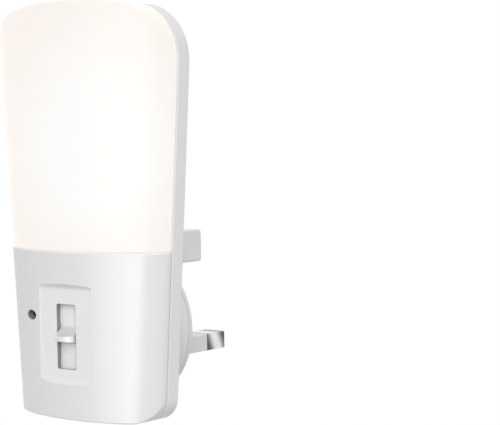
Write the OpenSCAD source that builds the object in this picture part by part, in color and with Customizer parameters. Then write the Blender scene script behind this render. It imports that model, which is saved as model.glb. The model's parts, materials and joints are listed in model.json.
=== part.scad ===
// Plug-in night light with a brightness slider and a dusk sensor.
//
// The origin is the centre of the round plug boss, on the face that meets the
// socket. +X is to the right seen from the front, +Y points into the wall and
// +Z is up. Lengths are millimetres.

/* [Body] */
// Height of the body from its bottom edge to the middle of its arched top
body_h = 96; // [92:1:100]
// Width that the straight sides have at the bottom edge
base_w = 43.4; // [43:0.1:45]
// Width that the straight sides would have at the full height
top_w = 56.2; // [54:0.1:58]
// Radius of the two bottom corners
base_corner_r = 5.3; // [4.5:0.1:6]
// Radius of the two top corners
top_corner_r = 13.1; // [12:0.1:14]
// Rise of the arched top edge over the full width
top_rise = 3.5; // [3:0.1:4]
// Depth of the rear casing, from the parting line to its back
rim_d = 4.4; // [4.2:0.1:5]
// Depth of the curved front at the bottom edge
base_crown = 10; // [9.8:0.1:10.4]
// Depth of the curved front at the top edge
top_crown = 10.6; // [10.4:0.1:11.2]
// Height of the seam between the lower housing and the diffuser
seam_h = 38.9; // [38.5:0.1:39.5]
// Wall of the rear casing
casing_wall = 1.8; // [1.6:0.1:2]
// Wall of the lower housing and of the diffuser
shell_wall = 1.6; // [1.4:0.1:1.7]

/* [Brightness slider] */
// Width of the flat recessed panel
panel_w = 16.4; // [15:0.1:17]
// Height of the panel's lower edge
panel_low = 9.1; // [8.5:0.1:10]
// Height of the panel's upper edge
panel_high = 30.6; // [30:0.1:31.5]
// Depth of the panel below the crown of the front
panel_sink = 1.3; // [1.2:0.1:1.4]
// Width of the slot
slot_w = 6.1; // [6:0.1:6.5]
// Height of the slot
slot_h = 15; // [14.6:0.1:15.4]
// Height of the middle of the slot
slot_mid = 19.1; // [18.8:0.1:19.4]
// Height of the thumb piece
knob_h = 4.2; // [4:0.1:4.6]
// How far the thumb piece stands out of the panel
knob_out = 2.1; // [1.8:0.1:2.4]
// Full travel of the slider
travel = 9; // [8:0.5:9]

/* [Dusk sensor] */
// Distance of the sensor hole to the left of the middle
sensor_side = 11.6; // [11:0.1:12]
// Height of the sensor hole
sensor_h = 23.5; // [22:0.1:25]
// Diameter of the sensor hole
sensor_hole_d = 2.4; // [2.2:0.1:2.6]

/* [Plug] */
// Radius of the round boss
boss_r = 18; // [17.5:0.1:18.5]
// Depth of the boss, from the back of the casing to the socket face
boss_d = 10.4; // [10:0.1:12]
// Height of the middle of the boss above the bottom edge
boss_h = 19.6; // [19.2:0.1:20]
// How far the live and neutral pins lie below the middle of the boss
pin_drop = 4.6; // [4:0.1:5]
// Distance between the live and neutral pins
pin_pitch = 22.23; // [22.23]
// Height of the earth pin above the live and neutral pins
earth_rise = 22.23; // [22.23]
// Width and thickness of the live and neutral pins
line_pin = [6.35, 4]; // [4:0.01:7]
// Length of the live and neutral pins beyond the socket face
line_pin_l = 17.7; // [17.7]
// Length of the insulating sleeve beyond the socket face
sleeve_l = 9.5; // [9:0.1:9.5]
// Width and height of the earth pin
earth_pin_size = [4, 8]; // [4:0.01:8]
// Length of the earth pin beyond the socket face
earth_pin_l = 22.73; // [22.73]

/* [Hidden] */
$fn = 48;

// Colours
white_plastic = [0.93, 0.93, 0.92];
opal = [1.0, 0.96, 0.91];
nickel = [0.72, 0.71, 0.69];
brass = [0.78, 0.66, 0.36];
steel = [0.62, 0.63, 0.64];
black_plastic = [0.08, 0.08, 0.09];
board_green = [0.10, 0.36, 0.20];
board_white = [0.90, 0.90, 0.88];

// A small overlap that keeps cuts clean
cut = 0.5;

// The outline: sides that lean out by side_lean, and the circle of the top edge
half_base = base_w / 2;
side_slope = (top_w - base_w) / 2 / body_h;
side_lean = atan(side_slope);
arch_r = ((top_w / 2) ^ 2 + top_rise ^ 2) / (2 * top_rise);
arch_mid = body_h - arch_r;
corner_steps = 12;
arch_steps = 10;

// The curved front: an elliptic section that widens with height
front_steps = 48;
// Width of the ellipse beyond the outline on each side
front_land = 0.06;
crown_slope = (top_crown - base_crown) / body_h;

// Where things lie in the depth, measured from the parting line
casing_floor = rim_d - casing_wall;
panel_y = -(base_crown + crown_slope * slot_mid) + panel_sink;
panel_wall = 1.3;
panel_back = panel_y + panel_wall;
board_t = 1.2;
board_front = -0.2;
board_back = board_front + board_t;
led_board_t = 1;
led_board_front = 0.6;
reflector_t = 0.4;
reflector_front = -0.4;
plug_face = rim_d + boss_d;

// The groove between the front and the rear casing
groove_w = 0.4;
groove_d = 0.35;

// The plug base plate: a step that shows and a spigot inside the boss
plate_step = 1.6;
plate_inset = 0.4;
plate_d = 4.6;
boss_wall = 1.8;
lobe_w = 9.6;
lobe_over = 2.8;
lobe_corner_r = 2.4;
earth_h = earth_rise - pin_drop;

// Slider parts
knob_w = slot_w - 0.6;
strip_w = 8.4;
strip_t = 0.8;
strip_gap = 0.2;
strip_h = slot_h + travel + 0.4;
strip_front = panel_back + strip_gap;
strip_back = strip_front + strip_t;
lever = [1.8, 4];
lever_front = strip_front + 0.4;
frame_size = [7.6, 22];
frame_front = -4.9;
frame_wall = 0.4;

// Screw places as [x, height]
low_screw = [16.5, 5.2];
high_screw = [18.6, 35.5];
board_screw = [12.2, 34.4];
board_peg = [11, 4.9];
led_screw_heights = [53.5, 81.5];
hook_x = 9;
hook_z = 92.6;

// Light sources: two columns of four
led_x = 9.5;
led_heights = [48, 59.3, 70.6, 82];
led_size = [3.5, 2.8, 0.8];

// ---------------------------------------------------------------- shapes

// Half width of the sides at height z, moved in by inset
function side_x(z, inset) = half_base - inset / cos(side_lean) + side_slope * z;

// Height of the middle of a top corner of radius r, whose circle touches the
// side line and the arch circle from inside
function corner_z(inset, r) =
    let (a = half_base - (inset + r) / cos(side_lean),
         p = side_slope ^ 2 + 1,
         q = 2 * (a * side_slope - arch_mid),
         s = a ^ 2 + arch_mid ^ 2 - (arch_r - inset - r) ^ 2)
    (-q + sqrt(q ^ 2 - 4 * p * s)) / (2 * p);

function arc_points(mid, r, from, to, steps) =
    [for (i = [0 : steps])
        let (a = from + (to - from) * i / steps) mid + r * [cos(a), sin(a)]];

// Right half of the outline, from the bottom corner to the top of the arch
function half_outline(inset) =
    let (rb = base_corner_r - inset,
         rt = top_corner_r - inset,
         low = [side_x(base_corner_r, inset) - rb / cos(side_lean), base_corner_r],
         top_z = corner_z(inset, rt),
         top = [side_x(top_z, inset) - rt / cos(side_lean), top_z],
         turn = atan2(top[1] - arch_mid, top[0]))
    concat(
        arc_points(low, rb, -90, -side_lean, corner_steps),
        arc_points(top, rt, -side_lean, turn, corner_steps),
        [for (p = arc_points([0, arch_mid], arch_r - inset, turn, 90, arch_steps))
            if (p[1] > top_z && p[0] < top[0]) p]);

// The body's outline, moved in by inset, as a flat shape
module outline(inset = 0) {
    right = half_outline(inset);
    last = len(right) - 1;
    polygon(concat(right, [for (i = [last - 1 : -1 : 0]) [-right[i][0], right[i][1]]]));
}

// A flat shape in X and Z, made solid from depth y0 to depth y1
module slab(y0, y1) {
    translate([0, y1, 0])
        rotate([90, 0, 0])
            linear_extrude(height = y1 - y0)
                children();
}

// A round bar along the depth at [x, height]
module bar(place, r, y0, y1) {
    translate([place[0], y1, place[1]])
        rotate([90, 0, 0])
            cylinder(r = r, h = y1 - y0);
}

// A box by its lowest and highest corners
module block(low, high) {
    translate(low) cube(high - low);
}

// A flat rectangle with round corners, about the origin
module round_rect(w, h, r) {
    square([w - 2 * r, h], center = true);
    square([w, h - 2 * r], center = true);
    for (x = [-1, 1], y = [-1, 1])
        translate([x * (w / 2 - r), y * (h / 2 - r)]) circle(r = r);
}

// Section of the curved front at height z, moved in by inset, open at the back
function front_section(z, inset) =
    let (w = side_x(z, 0) + front_land - inset,
         h = base_crown + crown_slope * z - inset,
         back = 2)
    concat(
        [[w, back, z]],
        [for (i = [0 : front_steps])
            [w * cos(180 * i / front_steps), -h * sin(180 * i / front_steps), z]],
        [[-w, back, z]]);

// The curved front as a solid between two heights
module curved_front(inset, z0, z1) {
    n = front_steps + 3;
    polyhedron(
        points = concat(front_section(z0, inset), front_section(z1, inset)),
        faces = concat(
            [[for (i = [n - 1 : -1 : 0]) i]],
            [[for (i = [0 : n - 1]) n + i]],
            [for (i = [0 : n - 1]) [i, (i + 1) % n, n + (i + 1) % n]],
            [for (i = [0 : n - 1]) [i, n + (i + 1) % n, n + i]]));
}

// What lies inside the curved front and the outline, moved in by inset, between two heights
module front_solid(inset, z0, z1, y1 = 0) {
    intersection() {
        curved_front(inset, z0, z1);
        slab(-20, y1) outline(inset);
    }
}

// Puts a piece of the body, drawn from the parting line and the bottom edge, in its place
module in_body() {
    translate([0, -plug_face, -boss_h]) children();
}

// Outline of the boss, a disc with a lobe around the earth pin, about the boss's middle
module boss_outline(inset) {
    top = earth_h + earth_pin_size[1] / 2 + lobe_over - inset;
    w = lobe_w - 2 * inset;
    r = lobe_corner_r - inset / 2;
    circle(r = boss_r - inset);
    translate([0, top / 2]) round_rect(w, top, r);
}

// Right and left places of a screw
function both_sides(place) = [place, [-place[0], place[1]]];

// A pan-head screw along the depth: the head's top at y1, its tip towards -Y
module screw(place, head_r, head_t, shank_r, length, y1) {
    difference() {
        union() {
            bar(place, head_r, y1 - head_t, y1);
            bar(place, shank_r, y1 - head_t - length, y1 - head_t);
        }
        translate([place[0], y1, place[1]])
            for (a = [0, 90])
                rotate([0, a, 0]) cube([head_r * 1.1, head_t, head_r * 0.3], center = true);
    }
}

// ---------------------------------------------------------------- shells

module rear_casing() {
    color(white_plastic) in_body() difference() {
        union() {
            slab(0, groove_w) outline(groove_d);
            slab(groove_w, rim_d) outline(0);
            translate([0, 0, boss_h])
                slab(rim_d, plug_face - plate_step) boss_outline(0);
        }
        difference() {
            slab(-cut, casing_floor) outline(casing_wall);
            for (p = concat(both_sides(low_screw), both_sides(high_screw)))
                bar(p, 3, 0, rim_d);
            for (p = both_sides(board_screw)) bar(p, 2, board_back, rim_d);
            for (p = both_sides(board_peg)) bar(p, 1.7, board_back, rim_d);
            for (z = led_screw_heights) bar([0, z], 3, led_board_front + led_board_t, rim_d);
            for (x = [-14, 14], z = [45.5, 85])
                bar([x, z], 1.5, led_board_front + led_board_t, rim_d);
        }
        translate([0, 0, boss_h])
            slab(casing_floor - cut, plug_face) boss_outline(boss_wall);
        for (p = concat(both_sides(low_screw), both_sides(high_screw))) {
            bar(p, 1.3, -cut, rim_d + cut);
            bar(p, 2.6, rim_d - 1.8, rim_d + cut);
        }
        for (p = both_sides(board_screw)) bar(p, 0.85, -cut, casing_floor + 1);
        for (z = led_screw_heights) bar([0, z], 0.85, -cut, casing_floor + 1);
        for (x = [-hook_x, hook_x])
            block([x - 2.3, 1, hook_z], [x + 2.3, 2, hook_z + 2.1]);
    }
}

module front_housing() {
    shelf = [36.5, 37.7];
    color(white_plastic) in_body() difference() {
        union() {
            difference() {
                front_solid(0, 0, seam_h);
                front_solid(shell_wall, -cut, shelf[0], cut);
                front_solid(shell_wall, shelf[1], seam_h + cut, cut);
            }
            intersection() {
                front_solid(0.8, 0, shelf[0] + 0.5);
                union() {
                    panel_pad();
                    for (p = concat(both_sides(low_screw), both_sides(high_screw)))
                        bar(p, 3, -12, 0);
                    bar([-sensor_side, sensor_h], 2.6, -12, -6.3);
                }
            }
        }
        panel_recess();
        translate([0, 0, slot_mid])
            slab(panel_y - cut, panel_back + cut) round_rect(slot_w, slot_h, 0.8);
        bar([-sensor_side, sensor_h], sensor_hole_d / 2, -12, -5);
        for (p = concat(both_sides(low_screw), both_sides(high_screw)))
            bar(p, 1.05, -4.2, cut);
        block([-4.5, -3.2, shelf[0] - cut], [4.5, cut, shelf[1] + cut]);
    }
}

// The thickened wall behind the panel, with the two rails that guide the strip
module panel_pad() {
    rail_gap = 0.2;
    pad_w = panel_w / 2 + panel_wall;
    block([-pad_w, -12, panel_low - panel_wall], [pad_w, panel_back, panel_high + panel_wall]);
    for (s = [-1, 1])
        translate([s * (strip_w / 2 + rail_gap + 0.5), 0, 0])
            block([-0.5, -12, 2.4], [0.5, strip_back, 35.8]);
}

// The space of the recessed panel, with slanted upper and lower walls
module panel_recess() {
    deep = 4;
    slant = 0.8;
    rotate([90, 0, 90])
        translate([0, 0, -panel_w / 2])
            linear_extrude(height = panel_w)
                polygon([
                    [panel_y, panel_low],
                    [panel_y, panel_high],
                    [panel_y - deep, panel_high + deep * slant],
                    [panel_y - deep, panel_low - deep * slant]]);
}

module diffuser() {
    tongue = 0.9;
    tongue_t = 1;
    tongue_gap = 0.1;
    color(opal) in_body() {
        difference() {
            front_solid(0, seam_h, body_h + 1);
            front_solid(shell_wall, seam_h - cut, body_h + 1, cut);
        }
        difference() {
            union() {
                front_solid(shell_wall + tongue_gap, seam_h - tongue, seam_h + tongue);
                front_solid(shell_wall - tongue_gap, seam_h, seam_h + tongue);
            }
            front_solid(shell_wall + tongue_t, seam_h - tongue - cut, seam_h + tongue + cut, cut);
        }
        for (x = [-hook_x, hook_x]) {
            block([x - 2, -2.5, hook_z], [x + 2, 0, hook_z + 1.8]);
            block([x - 2, 0, hook_z], [x + 2, 1.9, hook_z + 1]);
            block([x - 2, 1.1, hook_z + 1], [x + 2, 1.9, hook_z + 2]);
        }
    }
}

// ---------------------------------------------------------------- plug

module pin_plate() {
    fit = 0.1;
    line_w = line_pin[0];
    line_t = line_pin[1];
    color(white_plastic) difference() {
        union() {
            slab(-plate_step, 0) boss_outline(plate_inset);
            slab(-plate_d, -plate_step) boss_outline(boss_wall + fit);
        }
        for (s = [-1, 1])
            translate([s * pin_pitch / 2, 0, -pin_drop])
                block([-line_w / 2, -plate_d - cut, -line_t / 2], [line_w / 2, cut, line_t / 2]);
        translate([0, 0, earth_h])
            slab(-plate_d - cut, cut) square(earth_pin_size, center = true);
    }
}

// A round-ended bar in depth and height, made solid over the width
module side_profile(length, h, r, w, from) {
    rotate([90, 0, 90])
        translate([0, 0, -w / 2])
            linear_extrude(height = w) {
                translate([from, -h / 2]) square([length - r - from, h]);
                translate([length - r, -h / 2 + r]) square([r, h - 2 * r]);
                for (z = [-1, 1]) translate([length - r, z * (h / 2 - r)]) circle(r = r);
            }
}

module earth_pin() {
    flange = [5.6, 9.6];
    w = earth_pin_size[0];
    color(white_plastic) translate([0, 0, earth_h]) {
        side_profile(earth_pin_l, earth_pin_size[1], 1, w, -plate_d);
        slab(-plate_d - 1.2, -plate_d) square(flange, center = true);
    }
}

// A live or neutral pin: a tail in the plate, a neck under the sleeve and the contact end
module line_pin_shape() {
    w = line_pin[0];
    t = line_pin[1];
    neck = [w - 1.6, t - 1.4];
    end_r = 1.3;
    slope = [1.1, 1.7];
    intersection() {
        union() {
            side_profile(line_pin_l, t, end_r, w, sleeve_l);
            slab(-1, sleeve_l) square(neck, center = true);
            slab(-plate_d, -1) square([w, t], center = true);
        }
        linear_extrude(height = 2 * t, center = true)
            polygon([
                [-w / 2, -plate_d], [w / 2, -plate_d],
                [w / 2, line_pin_l - slope[1]], [w / 2 - slope[0], line_pin_l],
                [slope[0] - w / 2, line_pin_l], [-w / 2, line_pin_l - slope[1]]]);
    }
}

module sleeve_shape() {
    w = line_pin[0];
    t = line_pin[1];
    slab(-1, sleeve_l) difference() {
        square([w, t], center = true);
        square([w - 1.6, t - 1.4], center = true);
    }
}

// A brass strap from a pin's tail to the driver board
module strap_shape() {
    end_y = board_front - plug_face - 0.6;
    block([-2.4, -plate_d - 0.8, -1.6], [2.4, -plate_d, 1.6]);
    block([-1.5, end_y, -0.4], [1.5, -plate_d - 0.8, 0.4]);
}

// Right is live, left is neutral, as a socket has them seen from the front
module on_side(s) {
    translate([s * pin_pitch / 2, 0, -pin_drop]) children();
}

module live_pin() { color(nickel) on_side(1) line_pin_shape(); }
module neutral_pin() { color(nickel) on_side(-1) line_pin_shape(); }
module live_sleeve() { color(white_plastic) on_side(1) sleeve_shape(); }
module neutral_sleeve() { color(white_plastic) on_side(-1) sleeve_shape(); }
module live_strap() { color(brass) on_side(1) strap_shape(); }
module neutral_strap() { color(brass) on_side(-1) strap_shape(); }

// ---------------------------------------------------------------- slider

// Thumb piece with a scooped top, its stem in the slot and the strip behind the slot
module slider_knob() {
    front = panel_y - knob_out;
    lip = 1.7;
    scoop_r = 2.9;
    color(white_plastic) in_body() translate([0, 0, slot_mid]) difference() {
        union() {
            block([-knob_w / 2, front, -knob_h / 2], [knob_w / 2, strip_back, knob_h / 2]);
            block([-strip_w / 2, strip_front, -strip_h / 2], [strip_w / 2, strip_back, strip_h / 2]);
            block([-lever[0] - 0.6, strip_front, -lever[1] / 2 - 0.8],
                  [lever[0] + 0.6, strip_back + 0.5, lever[1] / 2 + 0.8]);
        }
        translate([-knob_w, front - 0.3, lip - knob_h / 2 + scoop_r])
            rotate([0, 90, 0]) cylinder(r = scoop_r, h = 2 * knob_w);
        block([-lever[0] / 2 - 0.02, lever_front, -lever[1] / 2 - 0.02],
              [lever[0] / 2 + 0.02, 0, lever[1] / 2 + 0.02]);
    }
}

module slider_lever() {
    color(black_plastic) in_body() translate([0, 0, slot_mid]) {
        block([-lever[0] / 2, lever_front, -lever[1] / 2],
              [lever[0] / 2, frame_front + 0.5, lever[1] / 2]);
        block([-2.2, frame_front + 0.5, -3], [2.2, -1.5, 3]);
    }
}

module slider_wiper() {
    color(brass) in_body() translate([0, 0, slot_mid]) {
        block([-1.8, -1.5, -2.6], [1.8, -1.35, 2.6]);
        for (s = [-1, 1])
            block([s * 1.2 - 0.35, -1.35, -2.6], [s * 1.2 + 0.35, -1.12, -1.8]);
    }
}

// Steel cover of the slide control, bent round its base
module slider_frame() {
    w = frame_size[0] / 2;
    h = frame_size[1] / 2;
    lever_slot = travel / 2 + lever[1] / 2 + 0.4;
    color(steel) in_body() translate([0, 0, slot_mid]) difference() {
        block([-w, frame_front, -h], [w, board_front, h]);
        block([-w + frame_wall, frame_front + frame_wall, -h + frame_wall],
              [w - frame_wall, cut, h - frame_wall]);
        block([-1.3, frame_front - cut, -lever_slot], [1.3, frame_front + 1, lever_slot]);
    }
}

module slider_base() {
    w = frame_size[0] / 2 - frame_wall;
    h = frame_size[1] / 2 - frame_wall;
    color([0.45, 0.30, 0.18]) in_body() translate([0, 0, slot_mid])
        block([-w, -1, -h], [w, board_front, h]);
}

// ---------------------------------------------------------------- electronics

module driver_board() {
    wide = 15;
    narrow = 13;
    color(board_green) in_body() difference() {
        union() {
            block([-wide, board_front, 9.2], [wide, board_back, 36.2]);
            block([-narrow, board_front, 3.2], [narrow, board_back, 9.2]);
        }
        for (p = both_sides(board_screw)) bar(p, 1, -cut, board_back + cut);
        for (s = [-1, 1])
            translate([s * pin_pitch / 2, 0, boss_h - pin_drop])
                block([-1.55, -cut, -0.45], [1.55, board_back + cut, 0.45]);
    }
}

module led_board() {
    color(board_white) in_body() difference() {
        block([-18, led_board_front, 43.5], [18, led_board_front + led_board_t, 87]);
        for (z = led_screw_heights)
            bar([0, z], 1, led_board_front - cut, led_board_front + led_board_t + cut);
    }
}

module led_chips() {
    color([0.98, 0.93, 0.72]) in_body()
        for (x = [-led_x, led_x], z = led_heights)
            block([x - led_size[0] / 2, led_board_front - led_size[2], z - led_size[1] / 2],
                  [x + led_size[0] / 2, led_board_front, z + led_size[1] / 2]);
}

// White sheet in front of the light sources, with a window for each
module reflector() {
    window = [led_size[0] + 1, led_size[1] + 1];
    color(board_white) in_body() difference() {
        intersection() {
            slab(reflector_front, reflector_front + reflector_t) outline(3.4);
            block([-40, -5, 41], [40, 5, 90.5]);
        }
        for (x = [-led_x, led_x], z = led_heights)
            translate([x, 0, z]) slab(-5, 5) square(window, center = true);
        for (z = led_screw_heights) bar([0, z], 1, -5, 5);
        block([-4.5, -5, 40], [4.5, 5, 47.5]);
    }
}

// A lead that leaves one board, runs up and comes back to the other
module led_lead(x) {
    r = 0.6;
    bend_r = 1.2;
    low = 34.6;
    high = 45.5;
    out = -2.2;
    bar([x, low], r, out + bend_r, board_front);
    bar([x, high], r, out + bend_r, led_board_front);
    translate([x, out, low + bend_r]) cylinder(r = r, h = high - low - 2 * bend_r);
    for (end = [[low + bend_r, 90], [high - bend_r, -90]])
        translate([x, out + bend_r, end[0]])
            rotate([0, end[1], 180])
                rotate_extrude(angle = 90) translate([bend_r, 0]) circle(r = r);
}

module led_leads() {
    color([0.75, 0.12, 0.10]) in_body()
        for (x = [-1.6, 1.6]) led_lead(x);
}

module mains_capacitor() {
    color([0.85, 0.75, 0.20]) in_body()
        translate([0, 0, 24.5]) slab(board_back, board_back + 8.4) round_rect(13, 6, 0.6);
}

module smoothing_capacitor() {
    color([0.15, 0.18, 0.26]) in_body() {
        bar([0, 12.2], 3.15, board_back + 0.3, board_back + 8.8);
        bar([0, 12.2], 2.8, board_back, board_back + 0.3);
    }
}

module varistor() {
    color([0.15, 0.35, 0.62]) in_body() translate([10, board_back + 4.2, 26.4])
        cylinder(r = 3, h = 3, center = true);
}

module choke() {
    place = [-9.8, 26];
    color([0.12, 0.12, 0.12]) in_body() {
        bar(place, 2.9, board_back, board_back + 0.9);
        bar(place, 2.4, board_back + 0.9, board_back + 5.2);
        bar(place, 2.9, board_back + 5.2, board_back + 6.2);
    }
}

module fusible_resistor() {
    r = 1.4;
    color([0.40, 0.60, 0.62]) in_body() translate([-6.6, board_back + r, 7.2]) {
        cylinder(r = r, h = 7);
        for (z = [-1.2, 7]) translate([0, 0, z]) cylinder(r = 0.3, h = 1.2);
    }
}

module bridge_rectifier() {
    color(black_plastic) in_body()
        block([7, board_front - 2.2, 28.2], [11.6, board_front, 32]);
}

module driver_chip() {
    color(black_plastic) in_body()
        block([6.8, board_front - 1.5, 17.6], [11.8, board_front, 21.6]);
}

module chip_resistors() {
    size = [1.6, 0.5, 0.9];
    color(black_plastic) in_body()
        for (p = [[6, 25], [9, 25], [12, 25], [6, 13], [9, 13], [-6.6, 12], [-9.6, 12], [-12.4, 30]])
            block([p[0] - size[0] / 2, board_front - size[1], p[1] - size[2] / 2],
                  [p[0] + size[0] / 2, board_front, p[1] + size[2] / 2]);
}

module dusk_sensor() {
    place = [-sensor_side, sensor_h];
    color([0.20, 0.20, 0.22]) in_body() {
        bar(place, 1.5, -4.6, board_front);
        translate([place[0], -4.6, place[1]]) sphere(r = 1.5);
    }
}

module sensor_tube() {
    place = [-sensor_side, sensor_h];
    color(black_plastic) in_body() difference() {
        bar(place, 2.2, -6.25, -1.2);
        bar(place, 1.6, -7, 0);
    }
}

// ---------------------------------------------------------------- fasteners

module casing_screws() {
    color(steel) in_body()
        for (p = concat(both_sides(low_screw), both_sides(high_screw)))
            screw(p, 2.3, 1.4, 1, 6.4, rim_d - 0.4);
}

module board_screws() {
    color(steel) in_body()
        for (p = both_sides(board_screw))
            mirror([0, 1, 0]) screw(p, 1.7, 1, 0.8, 3.4, 1 - board_front);
}

module led_board_screws() {
    color(steel) in_body()
        for (z = led_screw_heights)
            mirror([0, 1, 0]) screw([0, z], 1.9, 1, 0.8, 3.2, 1 - reflector_front);
}

rear_casing();
front_housing();
diffuser();
pin_plate();
earth_pin();
live_pin();
neutral_pin();
live_sleeve();
neutral_sleeve();
live_strap();
neutral_strap();
slider_knob();
slider_lever();
slider_wiper();
slider_frame();
slider_base();
driver_board();
led_board();
led_chips();
reflector();
led_leads();
mains_capacitor();
smoothing_capacitor();
varistor();
choke();
fusible_resistor();
bridge_rectifier();
driver_chip();
chip_resistors();
dusk_sensor();
sensor_tube();
casing_screws();
board_screws();
led_board_screws();
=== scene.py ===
"""Looks of a plug in night light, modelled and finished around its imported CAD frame.

The shells, the plug and the thumb piece are modelled again with soft edges and smooth
curves, and every other CAD solid keeps its shape and gets a procedural finish. Sizes are
millimetres until a piece is put in its place, and metres from then on.
"""

import json
import logging
import math
from collections.abc import Callable, Iterator
from contextlib import contextmanager
from dataclasses import dataclass, field
from enum import Enum

import bmesh
import bpy
from mathutils import Matrix, Vector

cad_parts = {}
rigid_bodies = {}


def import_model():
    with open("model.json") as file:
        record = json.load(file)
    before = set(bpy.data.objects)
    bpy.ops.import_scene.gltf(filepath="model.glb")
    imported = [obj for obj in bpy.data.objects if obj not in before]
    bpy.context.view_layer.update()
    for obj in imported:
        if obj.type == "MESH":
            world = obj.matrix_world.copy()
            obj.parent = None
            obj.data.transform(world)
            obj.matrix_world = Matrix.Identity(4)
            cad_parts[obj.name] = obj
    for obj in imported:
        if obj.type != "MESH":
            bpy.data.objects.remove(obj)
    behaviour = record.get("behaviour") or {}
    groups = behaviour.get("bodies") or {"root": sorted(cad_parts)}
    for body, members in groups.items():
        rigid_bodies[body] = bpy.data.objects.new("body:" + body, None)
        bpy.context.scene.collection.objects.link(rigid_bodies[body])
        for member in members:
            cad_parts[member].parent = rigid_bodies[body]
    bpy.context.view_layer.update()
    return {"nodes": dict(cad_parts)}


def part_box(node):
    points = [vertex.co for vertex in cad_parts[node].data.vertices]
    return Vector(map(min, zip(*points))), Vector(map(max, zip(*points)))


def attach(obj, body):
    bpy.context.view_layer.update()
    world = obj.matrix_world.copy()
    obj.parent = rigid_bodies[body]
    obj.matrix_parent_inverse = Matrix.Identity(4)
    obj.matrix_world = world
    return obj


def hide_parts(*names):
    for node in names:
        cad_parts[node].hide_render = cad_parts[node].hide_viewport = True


LOG = logging.getLogger("night_light")

MM = 0.001
SMOOTH_ANGLE = math.radians(32)
FLAT_WEIGHT = 100

# In millimetres: how far a cutting shape reaches past what it cuts, and how far from a depth
# the ends of an edge may be that lies there.
CUT = 1.0
NEAR = 0.01

# Numbers of two of the axes in a point.
DEPTH = 1
HEIGHT = 2

LAMP = "lamp"
SLIDER = "slider"

Pair = tuple[float, float]
Triple = tuple[float, float, float]
Colour = Triple


# ------------------------------------------------------------------ modelling


class Plane(Enum):
    """Plane that a sketch is drawn in: its two drawing axes and the axis of its depth."""

    FRONT = ((1, 0, 0), (0, 0, 1), (0, 1, 0))
    SIDE = ((0, 1, 0), (0, 0, 1), (1, 0, 0))
    PLAN = ((1, 0, 0), (0, 1, 0), (0, 0, 1))

    @property
    def across(self) -> Vector:
        """First drawing axis."""
        return Vector(self.value[0])

    @property
    def upward(self) -> Vector:
        """Second drawing axis."""
        return Vector(self.value[1])

    @property
    def depth(self) -> Vector:
        """Axis that a sketch is extruded along."""
        return Vector(self.value[2])


class Join(Enum):
    """What one shape does to another, by the name of the modifier's operation."""

    REMOVE = "DIFFERENCE"
    ADD = "UNION"
    SHARE = "INTERSECT"


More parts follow.
